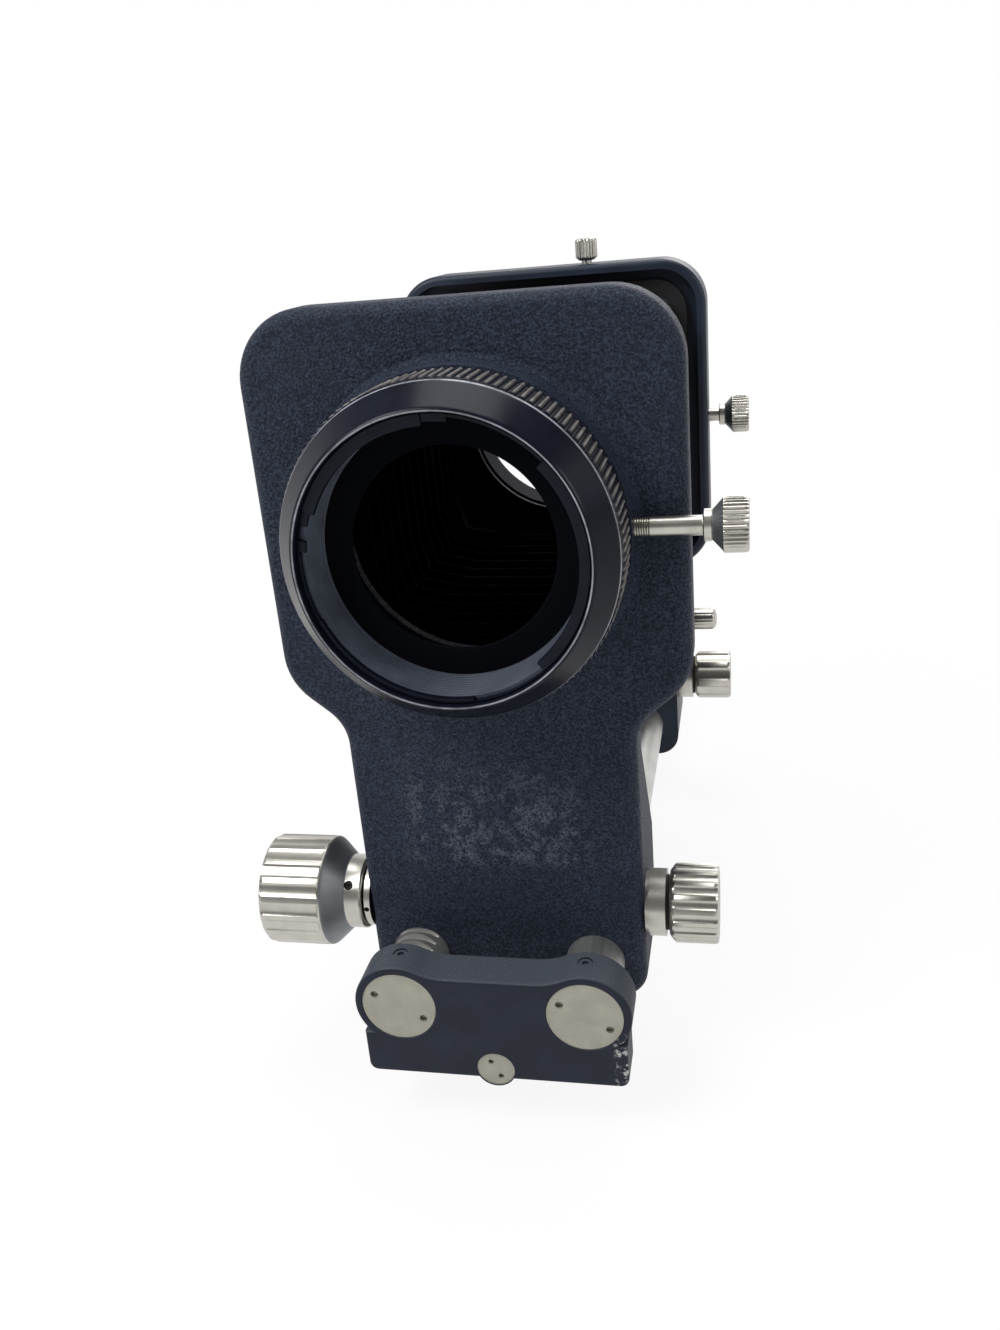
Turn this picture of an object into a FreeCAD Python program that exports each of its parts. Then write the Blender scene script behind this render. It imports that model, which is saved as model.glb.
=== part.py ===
"""Macro bellows unit: two standards on a rail bed, joined by a pleated bellows, on a sliding tripod block."""
import FreeCAD, Part
import math
import os
from FreeCAD import Vector as V

# Frame: +X right and +Y back as seen from the lens side, +Z up.
# The origin is the mouth of the tripod socket, on the flat face of the tripod block.

# Stations along the bed
AXIS_Z = 118.0            # optical axis above the tripod face
FRONT_Y = -69.0           # front face of the front plate
REAR_Y = 37.0             # front lip of the rear frame
BED_FRONT_Y = -87.3       # outer face of the front end block
BED_BACK_Y = 120.7        # outer face of the rear end block

# Rails, rod and end blocks
RAIL_X, RAIL_Z, RAIL_R = 18.5, 27.1, 6.0
ROD_Z, ROD_R = 13.3, 2.5
BLOCK_T = 8.3
HUMP_R = 9.1
BLOCK_HALF = 26.4
BLOCK_BOTTOM, BLOCK_LEDGE, BLOCK_SADDLE = 11.0, 20.5, 34.0
CAP_R, CAP_T, CAP_GAP = 7.5, 1.5, 0.1
ROD_CAP_R = 3.8
ROD_BOSS_R = 4.0
SET_SCREW_R = 1.5
FIT = 0.05                # radial running clearance

# Rack and pinion
MODULE = 0.8
TEETH = 12
PITCH = math.pi * MODULE
PITCH_R = MODULE * TEETH / 2
PITCH_LINE_Z = RAIL_Z + 5.3
PRESSURE = math.radians(20)
BACKLASH = 0.16
SHAFT_Z = PITCH_LINE_Z + PITCH_R
FRONT_SHAFT_Y = FRONT_Y + 7.0
SHAFT_SPACING_TEETH = 49
REAR_SHAFT_Y = FRONT_SHAFT_Y + SHAFT_SPACING_TEETH * PITCH
SHAFT_R = 2.5
BUSH_R = 3.6
PINION_W = 7.0
BUSH_TO_PINION = 1.0

# Castings
PLATE_HALF, PLATE_TOP, PLATE_CORNER = 39.7, 40.7, 13.0
REAR_HALF, REAR_CORNER = 39.5, 11.5
PLATE_T, REAR_PLATE_T = 8.0, 6.0
TRAY_DEPTH, TRAY_WALL = 7.0, 2.3
SHOULDER_Z = AXIS_Z - 24.0
SHOULDER_R, NECK_R = 12.0, 9.0
SHOULDER_TURN = math.radians(50)
NECK_HALF = 28.8
FOOT_Z, FOOT_CORNER, FOOT_DEPTH = 17.5, 6.0, 24.0
FOOT_TOP_Z, NECK_TOP_Z = 46.0, 72.0
EDGE_R = 2.4
REAR_FOOT_BACK = REAR_SHAFT_Y + 12.0

# Lens mount: places along the axis are from the front face of the plate, minus is towards the lens
BOSS_R, BOSS_H = 30.2, 4.6
BORE_R = 24.0
SPIGOT_R, SPIGOT_BACK = 26.5, 3.6
RING_BORE_R = 24.6
KNURL_R, KNURL_BACK, KNURL_FRONT = 30.0, -5.0, -14.2
RIM_R, RIM_FRONT, RIM_SEAT = 25.0, -20.5, -15.0
LUG_R, LUG_BACK, LUG_FRONT = 22.8, -18.2, -19.7
LUG_ARCS = ((92.0, 58.0), (-50.0, 92.0), (205.0, 60.0))    # start and sweep, in degrees
THROAT_R, THROAT_T = 18.1, 0.8
FUNNEL_FRONT_R, FUNNEL_BACK_R, FUNNEL_BACK = 24.2, 23.3, -10.6

# Camera mount
CAMERA_BORE_R, CAMERA_TUBE_R, CAMERA_LUG_R, CAMERA_FLANGE_R = 23.4, 24.8, 26.4, 31.0

CAMERA_LUG_STARTS, CAMERA_LUG_SWEEP = (60.0, 180.0, 300.0), 58.0

# Clamping screws: a pair is the place of the screw's own axis
THUMB_R = 1.75
THUMB_TIP_GAP = 0.4
FRONT_SCREW = (FRONT_Y - 2.3, AXIS_Z + 0.8)
REAR_SCREW = (REAR_Y + TRAY_DEPTH + REAR_PLATE_T / 2, AXIS_Z - 0.8)
TOP_SCREW, TOP_SCREW_R = (10.0, REAR_Y + 4.0), 1.4
NECK_SCREW, NECK_SCREW_R = (REAR_Y + 18.0, AXIS_Z - 60.8), 1.5

# Bellows
PLEATS = 15
BELLOWS_OUTER, BELLOWS_INNER = 36.2, 30.2
BELLOWS_WALL = 0.9
FRAME_T, FRAME_OUTER, FRAME_INNER = 2.0, 34.5, 28.0

# Knobs
DRIVE_R, DRIVE_FLUTES = 11.7, 18
HUB_SCREW_X, HUB_SCREW_TURN = 32.6, 39.0
COLLAR_SCREW_X, COLLAR_SCREW_TURN = 29.5, 0.0
LOCK_R, LOCK_FLUTES = 8.0, 18
REAR_LOCK_R, REAR_LOCK_FLUTES = 7.2, 8

# Tripod block
TRIPOD_HALF_X, TRIPOD_HALF_Y, TRIPOD_TOP = 21.0, 18.0, 24.5
SOCKET_R, SOCKET_DEPTH = 2.6, 8.5

X, Y, Z = V(1, 0, 0), V(0, 1, 0), V(0, 0, 1)


def save(shape, name):
    """Write one sub-part."""
    shape = shape.removeSplitter()
    bad = [s for s in shape.Solids if not s.isValid()]
    print(f"{name:24s} solids {len(shape.Solids)} volume {shape.Volume:10.1f} {'BAD' if bad else ''}")
    shape.exportStep(f"parts/{name}.step")


def box(x0, x1, y0, y1, z0, z1):
    return Part.makeBox(x1 - x0, y1 - y0, z1 - z0, V(x0, y0, z0))


def rod(radius, start, end):
    """Round bar from one point to another."""
    along = end - start
    return Part.makeCylinder(radius, along.Length, start, along)


def turned(profile, base, axis):
    """Solid of revolution: profile holds (distance along axis, radius) corners of a closed outline."""
    side = V(0, 0, 1) if abs(axis.z) < 0.5 else V(1, 0, 0)
    corners = [base + axis * along + side * radius for along, radius in profile]
    face = Part.Face(Part.makePolygon(corners + corners[:1]))
    return face.revolve(base, axis, 360)


def around(shape, base, axis, count, start=0.0):
    """Copies of a shape, evenly spaced round an axis."""
    copies = []
    for i in range(count):
        copy = shape.copy()
        copy.rotate(base, axis, start + 360.0 * i / count)
        copies.append(copy)
    return copies


def bar_of(wire, along):
    return Part.Face(wire).extrude(along)


def rounded_square(y, half, corner, centre_z=AXIS_Z):
    """Square outline with round corners in the plane at y."""
    c, k = half - corner, corner * math.sqrt(0.5)
    edges = []
    for i in range(4):
        turn = math.radians(90 * i)
        cos, sin = round(math.cos(turn)), round(math.sin(turn))

        def at(u, w):
            return V(u * cos - w * sin, y, centre_z + u * sin + w * cos)

        edges.append(Part.LineSegment(at(half, -c), at(half, c)))
        edges.append(Part.Arc(at(half, c), at(c + k, c + k), at(c, half)))
    return Part.Wire([e.toShape() for e in edges])


def cut_square(y, half, cut, centre_z=AXIS_Z):
    """Square outline with straight cut corners."""
    c = half - cut
    signs = [(half, -c), (half, c), (c, half), (-c, half), (-half, c), (-half, -c), (-c, -half), (c, -half)]
    corners = [V(x, y, centre_z + z) for x, z in signs]
    return Part.makePolygon(corners + corners[:1])


def standard_outline(y, half, top, corner):
    """Plate, shoulders, neck and foot as one outline in the plane at y."""
    sin, cos = math.sin(SHOULDER_TURN), math.cos(SHOULDER_TURN)
    half_sin, half_cos = math.sin(SHOULDER_TURN / 2), math.cos(SHOULDER_TURN / 2)
    top_z = AXIS_Z + top
    k = math.sqrt(0.5)
    shoulder_x = half - SHOULDER_R
    p1 = (shoulder_x + SHOULDER_R * cos, SHOULDER_Z - SHOULDER_R * sin)
    p2_x = NECK_HALF + NECK_R * (1 - cos)
    p2 = (p2_x, p1[1] - (p1[0] - p2_x) * cos / sin)
    neck_z = p2[1] - NECK_R * sin
    foot_c = FOOT_CORNER
    right = [
        ("line", (0, top_z), (half - corner, top_z)),
        ("arc", (half - corner, top_z),
         (half - corner * (1 - k), top_z - corner * (1 - k)), (half, top_z - corner)),
        ("line", (half, top_z - corner), (half, SHOULDER_Z)),
        ("arc", (half, SHOULDER_Z),
         (shoulder_x + SHOULDER_R * half_cos, SHOULDER_Z - SHOULDER_R * half_sin), p1),
        ("line", p1, p2),
        ("arc", p2, (NECK_HALF + NECK_R * (1 - half_cos), neck_z + NECK_R * half_sin), (NECK_HALF, neck_z)),
        ("line", (NECK_HALF, neck_z), (NECK_HALF, FOOT_Z + foot_c)),
        ("arc", (NECK_HALF, FOOT_Z + foot_c), (NECK_HALF - foot_c * (1 - k), FOOT_Z + foot_c * (1 - k)),
         (NECK_HALF - foot_c, FOOT_Z)),
        ("line", (NECK_HALF - foot_c, FOOT_Z), (0, FOOT_Z)),
    ]
    edges = []
    for side in (1, -1):
        for kind, *points in right:
            at = [V(side * x, y, z) for x, z in points]
            curve = Part.LineSegment(*at) if kind == "line" else Part.Arc(*at)
            edges.append(curve.toShape())
    return Part.Wire(Part.__sortEdges__(edges))


def neck_wedge(front_y, plate_back_y, back_y):
    """The neck seen from the side: thin under the plate, full depth at the foot."""
    side = [(front_y, FOOT_Z), (back_y, FOOT_Z), (back_y, FOOT_TOP_Z), (plate_back_y, NECK_TOP_Z),
            (front_y, NECK_TOP_Z)]
    corners = [V(-NECK_HALF, y, z) for y, z in side]
    return bar_of(Part.makePolygon(corners + corners[:1]), X * (2 * NECK_HALF))


def edges_at_y(shape, y, size):
    """Straight and curved edges that lie in the plane at y, apart from short ones."""
    found = []
    for edge in shape.Edges:
        flat = all(abs(v.Y - y) < 1e-4 for v in edge.Vertexes)
        if flat and abs(edge.BoundBox.YLength) < 1e-4 and edge.Length > size:
            found.append(edge)
    return found


def foot_cuts(shaft_y, y0, y1):
    """Rail bores, cross shaft bore and the pinion's pocket in a foot."""
    cuts = []
    for side in (1, -1):
        cuts.append(rod(RAIL_R + FIT, V(side * RAIL_X, y0 - 1, RAIL_Z), V(side * RAIL_X, y1 + 1, RAIL_Z)))
    cuts.append(rod(BUSH_R, V(-NECK_HALF - 1, shaft_y, SHAFT_Z), V(NECK_HALF + 1, shaft_y, SHAFT_Z)))
    pocket_r = PITCH_R + MODULE + 0.35
    cuts.append(rod(pocket_r, V(-RAIL_X - PINION_W / 2 - 0.5, shaft_y, SHAFT_Z),
                    V(-RAIL_X + PINION_W / 2 + 0.5, shaft_y, SHAFT_Z)))
    return cuts


def left_rail():
    """Round rail whose top carries the rack: trapezoid gaps at the gear pitch."""
    shape = rod(RAIL_R, V(-RAIL_X, BED_FRONT_Y + CAP_T, RAIL_Z), V(-RAIL_X, BED_BACK_Y - CAP_T, RAIL_Z))
    tan = math.tan(PRESSURE)
    root, crest = -1.25 * MODULE, RAIL_R + 0.2 + RAIL_Z - PITCH_LINE_Z
    mid = (PITCH + BACKLASH) / 4

    def gap(y):
        half = [(root, mid + root * tan), (crest, mid + crest * tan)]
        corners = [V(-RAIL_X - RAIL_R, y + w, PITCH_LINE_Z + h) for h, w in half]
        corners += [V(-RAIL_X - RAIL_R, y - w, PITCH_LINE_Z + h) for h, w in reversed(half)]
        return bar_of(Part.makePolygon(corners + corners[:1]), X * (2 * RAIL_R))

    inside_front, inside_back = BED_FRONT_Y + BLOCK_T + 1.5, BED_BACK_Y - BLOCK_T - 1.5
    first = math.ceil((inside_front - FRONT_SHAFT_Y) / PITCH)
    last = math.floor((inside_back - FRONT_SHAFT_Y) / PITCH)
    return shape.cut([gap(FRONT_SHAFT_Y + i * PITCH) for i in range(first, last + 1)])


def pinion(shaft_y):
    """Spur pinion with involute flanks, one tooth pointing down into the rack."""
    base_r = PITCH_R * math.cos(PRESSURE)
    tip_r, root_r = PITCH_R + 0.85 * MODULE, PITCH_R - 1.3 * MODULE
    inv = math.tan(PRESSURE) - PRESSURE
    pitch_half = (PITCH - BACKLASH) / 4 / PITCH_R

    def half_angle(r):
        turn = math.acos(min(1.0, base_r / r))
        return pitch_half + inv - (math.tan(turn) - turn)

    flank = [(r, half_angle(r)) for r in (base_r, base_r + 0.35, PITCH_R + 0.15, tip_r)]
    relief = half_angle(base_r) - 0.035
    flank = [(root_r, relief)] + flank
    outline = []
    for tooth in range(TEETH):
        middle = -math.pi / 2 + 2 * math.pi * tooth / TEETH
        outline += [(r, middle - a) for r, a in flank] + [(r, middle + a) for r, a in reversed(flank)]
    left = V(-RAIL_X - PINION_W / 2, shaft_y, SHAFT_Z)
    corners = [left + V(0, r * math.cos(a), r * math.sin(a)) for r, a in outline]
    gear = bar_of(Part.makePolygon(corners + corners[:1]), X * PINION_W)
    return gear.cut(rod(SHAFT_R, V(-40, shaft_y, SHAFT_Z), V(0, shaft_y, SHAFT_Z)))


def end_block(outer_y, into):
    """Cast block: two humps round the rails, a saddle between them and a slab below for the rod."""
    inner_y = outer_y + into * BLOCK_T
    y0, y1 = min(outer_y, inner_y), max(outer_y, inner_y)
    humps = [rod(HUMP_R, V(side * RAIL_X, y0, RAIL_Z), V(side * RAIL_X, y1, RAIL_Z)) for side in (1, -1)]
    web = box(-RAIL_X, RAIL_X, y0, y1, BLOCK_LEDGE - 2, BLOCK_SADDLE)
    slab = box(-BLOCK_HALF, BLOCK_HALF, y0, y1, BLOCK_BOTTOM, BLOCK_LEDGE)
    low = BLOCK_BOTTOM + 0.1
    long_edges = [e for e in slab.Edges if e.BoundBox.YLength > BLOCK_T - 0.1 and e.BoundBox.ZMax < low]
    slab = slab.makeFillet(1.8, long_edges)
    boss = rod(ROD_BOSS_R, V(0, y0, ROD_Z), V(0, y1, ROD_Z))
    saddle = saddle_fill(y0, y1)
    shape = humps[0].fuse([humps[1], web, slab, saddle]).removeSplitter()
    shape = shape.makeFillet(0.6, edges_at_y(shape, outer_y, 0.0)).fuse(boss)
    cap_y = outer_y + into * CAP_T
    cuts = []
    for side in (1, -1):
        x = side * RAIL_X
        cuts.append(rod(RAIL_R, V(x, y0 - 1, RAIL_Z), V(x, y1 + 1, RAIL_Z)))
        cuts.append(rod(CAP_R + CAP_GAP, V(x, outer_y - into, RAIL_Z), V(x, cap_y, RAIL_Z)))
        middle = (y0 + y1) / 2 + into * 1.0
        cuts.append(rod(SET_SCREW_R, V(x, middle, RAIL_Z), V(x, middle, RAIL_Z + HUMP_R + 2)))
    cuts.append(rod(ROD_R, V(0, y0 - 1, ROD_Z), V(0, y1 + 1, ROD_Z)))
    cuts.append(rod(ROD_CAP_R, V(0, outer_y - into, ROD_Z), V(0, cap_y, ROD_Z)))
    return shape.cut(cuts)


def saddle_fill(y0, y1):
    """Concave blend from each hump down to the saddle between them."""
    blend_r = 14.0
    low = BLOCK_SADDLE
    reach = HUMP_R + blend_r
    rise = low + blend_r - RAIL_Z
    dx = math.sqrt(reach * reach - rise * rise)
    centre = (RAIL_X - dx, low + blend_r)
    touch = (RAIL_X - dx * HUMP_R / reach, RAIL_Z + rise * HUMP_R / reach)
    middle_angle = (math.atan2(touch[1] - centre[1], touch[0] - centre[0]) - math.pi / 2) / 2
    middle = (centre[0] + blend_r * math.cos(middle_angle), centre[1] + blend_r * math.sin(middle_angle))
    fills = []
    for side in (1, -1):
        a, b, c = (V(side * p[0], y0, p[1]) for p in ((centre[0], low), middle, touch))
        corner = V(side * RAIL_X, y0, RAIL_Z)
        floor = V(side * centre[0], y0, RAIL_Z)
        edges = [Part.Arc(a, b, c).toShape(), Part.makeLine(c, corner), Part.makeLine(corner, floor),
                 Part.makeLine(floor, a)]
        fills.append(bar_of(Part.Wire(edges), V(0, y1 - y0, 0)))
    return fills[0].fuse(fills[1])


def spanner_cap(x, z, outer_y, into, radius, hole_r, hole_at, turn):
    """Flat round cap with two blind spanner holes."""
    start = V(x, outer_y + into * 0.15, z)
    end = V(x, outer_y + into * CAP_T, z)
    cap = rod(radius, start, end)
    holes = []
    for sign in (1, -1):
        dx, dz = sign * hole_at * math.cos(turn), sign * hole_at * math.sin(turn)
        holes.append(rod(hole_r, start + V(dx, -into, dz), start + V(dx, into * 0.9, dz)))
    return cap.cut(holes)


def bed():
    save(left_rail(), "left_rail")
    y0, y1 = BED_FRONT_Y + CAP_T, BED_BACK_Y - CAP_T
    save(rod(RAIL_R, V(RAIL_X, y0, RAIL_Z), V(RAIL_X, y1, RAIL_Z)), "right_rail")
    save(rod(ROD_R, V(0, y0, ROD_Z), V(0, y1, ROD_Z)), "lower_rod")
    ends = ((BED_FRONT_Y, 1, "front_end_block"), (BED_BACK_Y, -1, "rear_end_block"))
    caps, rod_caps, screws = [], [], []
    for outer_y, into, name in ends:
        save(end_block(outer_y, into), name)
        for side in (1, -1):
            caps.append(spanner_cap(side * RAIL_X, RAIL_Z, outer_y, into, CAP_R, 0.8, 5.4, math.radians(-28)))
            y = outer_y + into * (BLOCK_T / 2 + 1.0)
            foot = V(side * RAIL_X, y, RAIL_Z + RAIL_R)
            screws.append(rod(SET_SCREW_R, foot, foot + Z * (HUMP_R - RAIL_R - 0.6)))
        rod_caps.append(spanner_cap(0, ROD_Z, outer_y, into, ROD_CAP_R, 0.55, 1.9, math.radians(-62)))
    save(Part.makeCompound(caps), "rail_end_caps")
    save(Part.makeCompound(rod_caps), "rod_end_caps")
    save(Part.makeCompound(screws), "end_block_set_screws")


def front_standard():
    """Front casting: plate with a raised boss round the lens opening, neck and foot."""
    plate = bar_of(standard_outline(FRONT_Y, PLATE_HALF, PLATE_TOP, PLATE_CORNER), Y * PLATE_T)
    full = bar_of(standard_outline(FRONT_Y, PLATE_HALF, PLATE_TOP, PLATE_CORNER), Y * FOOT_DEPTH)
    neck = full.common(neck_wedge(FRONT_Y, FRONT_Y + PLATE_T, FRONT_Y + FOOT_DEPTH))
    shape = plate.fuse(neck).removeSplitter()
    shape = shape.makeFillet(EDGE_R, edges_at_y(shape, FRONT_Y, 0.5))
    base = V(0, FRONT_Y, AXIS_Z)
    boss = turned([(1, 20), (1, BOSS_R + 1.6), (0, BOSS_R + 1.6), (-0.6, BOSS_R + 0.7), (-1.6, BOSS_R + 0.2),
                   (-BOSS_H, BOSS_R), (-BOSS_H, 20)], base, Y)
    shape = shape.fuse(boss)
    cuts = [rod(SPIGOT_R + FIT, base - Y * 10, base + Y * (SPIGOT_BACK + 0.3))]
    cuts.append(rod(BORE_R, base - Y * 10, base + Y * 20))
    recess = rounded_square(FRONT_Y + PLATE_T - FRAME_T, FRAME_OUTER + 0.1, 8.0)
    cuts.append(bar_of(recess, Y * (FRAME_T + 1)))
    screw = V(BOSS_R, *FRONT_SCREW)
    cuts.append(rod(THUMB_R + FIT, screw - X * 8, screw + X * 3))
    cuts += foot_cuts(FRONT_SHAFT_Y, FRONT_Y, FRONT_Y + FOOT_DEPTH)
    save(shape.cut(cuts), "front_standard")


def thumbscrew(place, tip_x):
    """Turned thumbscrew along X: plain stem, collar, cone and a drum head."""
    base = V(0, place[0], place[1])
    profile = [(tip_x, 0), (tip_x, THUMB_R - 0.3), (tip_x + 0.4, THUMB_R), (42.3, THUMB_R), (42.3, 2.8),
               (43.6, 2.8), (45.2, 4.85), (49.3, 4.85), (49.8, 4.4), (49.8, 0)]
    return turned(profile, base, X)


def front_mount():
    """The turning lens mount: knurled ring with bevel and spigot, three-lug ring, grooved funnel and throat."""
    base = V(0, FRONT_Y, AXIS_Z)
    spigot = [(SPIGOT_BACK, RING_BORE_R), (SPIGOT_BACK, SPIGOT_R), (KNURL_BACK, SPIGOT_R)]
    knurl = [(KNURL_BACK, KNURL_R - 0.3), (KNURL_BACK - 0.3, KNURL_R), (KNURL_FRONT, KNURL_R), (-15.9, 29.5),
             (-16.3, 29.2)]
    rim = [(RIM_FRONT, RIM_R + 0.9), (RIM_FRONT - 0.3, RIM_R + 0.6), (RIM_FRONT - 0.3, RIM_R + 0.3),
           (RIM_FRONT, RIM_R), (RIM_SEAT, RIM_R), (RIM_SEAT, RING_BORE_R)]
    save(turned(spigot + knurl + rim, base, Y), "front_mount_ring")
    lug_ring = turned([(LUG_BACK, FUNNEL_FRONT_R), (LUG_BACK, RIM_R), (LUG_FRONT, RIM_R),
                       (LUG_FRONT, FUNNEL_FRONT_R)], base, Y)
    section = [(LUG_BACK, LUG_R), (LUG_BACK, RIM_R - 0.5), (LUG_FRONT, RIM_R - 0.5), (LUG_FRONT, LUG_R)]
    lugs = [turned(section, base, Y).common(sector(base, start, sweep, -25, -15)) for start, sweep in LUG_ARCS]
    save(lug_ring.fuse(lugs), "front_bayonet_ring")
    throat_back = FUNNEL_BACK + THROAT_T
    funnel = [(LUG_BACK, FUNNEL_FRONT_R), (LUG_BACK, RIM_R), (RIM_SEAT, RIM_R), (RIM_SEAT, RING_BORE_R),
              (throat_back, RING_BORE_R), (throat_back, THROAT_R), (FUNNEL_BACK, THROAT_R),
              (FUNNEL_BACK, FUNNEL_BACK_R)]
    save(turned(funnel, base, Y), "front_throat_baffle")


def sector(base, start, sweep, y0, y1):
    """Wedge of a cylinder round the optical axis, from start counter-clockwise as seen from the lens side."""
    reach = 60.0
    at = [base + Y * y0]
    steps = 3
    for i in range(steps + 1):
        angle = math.radians(start + sweep * i / steps)
        at.append(base + Y * y0 + V(reach * math.cos(angle), 0, reach * math.sin(angle)))
    return bar_of(Part.makePolygon(at + at[:1]), Y * (y1 - y0))


def rear_standard():
    """Rear casting: tray frame for the bellows, plate with the camera opening, neck and foot."""
    floor_y = REAR_Y + TRAY_DEPTH
    back_y = floor_y + REAR_PLATE_T
    tray = bar_of(rounded_square(REAR_Y, REAR_HALF, REAR_CORNER), Y * (back_y - REAR_Y))
    tray = tray.makeFillet(1.2, edges_at_y(tray, REAR_Y, 0.5))
    plate = bar_of(standard_outline(floor_y, REAR_HALF, REAR_HALF, REAR_CORNER), Y * REAR_PLATE_T)
    foot_front = floor_y + 3.0
    deep = bar_of(standard_outline(floor_y, REAR_HALF, REAR_HALF, REAR_CORNER), Y * (REAR_FOOT_BACK - floor_y))
    neck = deep.common(neck_wedge(floor_y, back_y, REAR_FOOT_BACK))
    relief = box(-40, 40, floor_y - 1, foot_front, 0, FOOT_TOP_Z)
    shape = tray.fuse([plate, neck]).cut(relief)
    base = V(0, floor_y, AXIS_Z)
    above = V(*TOP_SCREW, AXIS_Z)
    beside = V(0, *NECK_SCREW)
    tray_inside = rounded_square(REAR_Y - 1, REAR_HALF - TRAY_WALL, REAR_CORNER - TRAY_WALL)
    cuts = [bar_of(tray_inside, Y * (TRAY_DEPTH + 1))]
    cuts.append(rod(SPIGOT_R + FIT, base + Y * 1.5, base + Y * 20))
    cuts.append(rod(CAMERA_BORE_R + 0.6, base - Y * 1, base + Y * 20))
    cuts.append(rod(THUMB_R + FIT, V(SPIGOT_R - 1, *REAR_SCREW), V(REAR_HALF + 2, *REAR_SCREW)))
    cuts.append(rod(TOP_SCREW_R + FIT, above + Z * 35, above + Z * 45))
    cuts.append(rod(NECK_SCREW_R + FIT, beside + X * (NECK_HALF - 7), beside + X * (NECK_HALF + 2)))
    cuts += foot_cuts(REAR_SHAFT_Y, foot_front, REAR_FOOT_BACK)
    save(shape.cut(cuts), "rear_standard")


def camera_mount():
    """Turning male bayonet: spigot in the plate, flange, tube and three outward lugs."""
    base = V(0, REAR_Y + TRAY_DEPTH, AXIS_Z)
    face = REAR_PLATE_T
    flange_front, flange_back, tube_back = face + 0.3, face + 2.8, face + 6.0
    body = turned([(1.8, CAMERA_BORE_R), (1.8, SPIGOT_R), (flange_front, SPIGOT_R),
                   (flange_front, CAMERA_FLANGE_R - 0.4), (flange_front + 0.4, CAMERA_FLANGE_R),
                   (flange_back - 0.4, CAMERA_FLANGE_R), (flange_back, CAMERA_FLANGE_R - 0.4),
                   (flange_back, CAMERA_TUBE_R), (tube_back, CAMERA_TUBE_R), (tube_back, CAMERA_BORE_R)],
                  base, Y)
    lug_front, lug_root = tube_back - 1.4, CAMERA_TUBE_R - 0.4
    section = [(lug_front, lug_root), (lug_front, CAMERA_LUG_R), (tube_back, CAMERA_LUG_R),
               (tube_back, lug_root)]
    lugs = []
    for start in CAMERA_LUG_STARTS:
        lugs.append(turned(section, base, Y).common(sector(base, start, CAMERA_LUG_SWEEP, 0, 20)))
    save(body.fuse(lugs), "camera_mount")


def small_screws():
    save(thumbscrew(FRONT_SCREW, SPIGOT_R + THUMB_TIP_GAP), "front_mount_screw")
    save(thumbscrew(REAR_SCREW, SPIGOT_R + THUMB_TIP_GAP), "rear_mount_screw")
    base = V(*TOP_SCREW, AXIS_Z)
    top = turned([(36.9, 0), (36.9, TOP_SCREW_R), (40.4, TOP_SCREW_R), (40.4, 1.9), (41.0, 2.75), (45.2, 2.75),
                  (45.6, 2.4), (45.6, 0)], base, Z)
    save(top, "top_frame_screw")
    side = V(0, *NECK_SCREW)
    neck = turned([(22.5, 0), (22.5, NECK_SCREW_R), (32.0, NECK_SCREW_R), (32.0, 2.3), (33.0, 3.1), (39.2, 3.1),
                   (40.1, 2.3), (40.4, 1.2), (40.4, 0)], side, X)
    save(neck, "rear_neck_screw")


def fluted(profile, base, axis, radius, count, groove_r, depth, span):
    """Turned knob whose drum has scalloped flutes."""
    knob = turned(profile, base, axis)
    side = Z * (radius + groove_r - depth)
    tool = rod(groove_r, base + axis * span[0] + side, base + axis * span[1] + side)
    return knob.cut(around(tool, base, axis, count))


def drive_knob(shaft_y):
    """Large knob: drum, cone and hub, bored for the shaft, with a radial screw hole."""
    base = V(0, shaft_y, SHAFT_Z)
    profile = [(30.6, SHAFT_R), (30.6, 7.4), (31.0, 7.85), (34.4, 7.85), (38.2, DRIVE_R - 0.3),
               (38.6, DRIVE_R), (51.4, DRIVE_R), (52.0, DRIVE_R - 0.6), (52.0, 0), (44.0, 0), (44.0, SHAFT_R)]
    knob = fluted(profile, base, -X, DRIVE_R, DRIVE_FLUTES, 2.3, 0.5, (38.3, 53.0))
    start = V(-HUB_SCREW_X, shaft_y, SHAFT_Z)
    return knob.cut(rod(1.0, start, start + radial(HUB_SCREW_TURN) * 9))


def radial(turn):
    """Direction in the plane across the shaft: 0 points at the lens side, 90 points up."""
    return V(0, -math.cos(math.radians(turn)), math.sin(math.radians(turn)))


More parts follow.
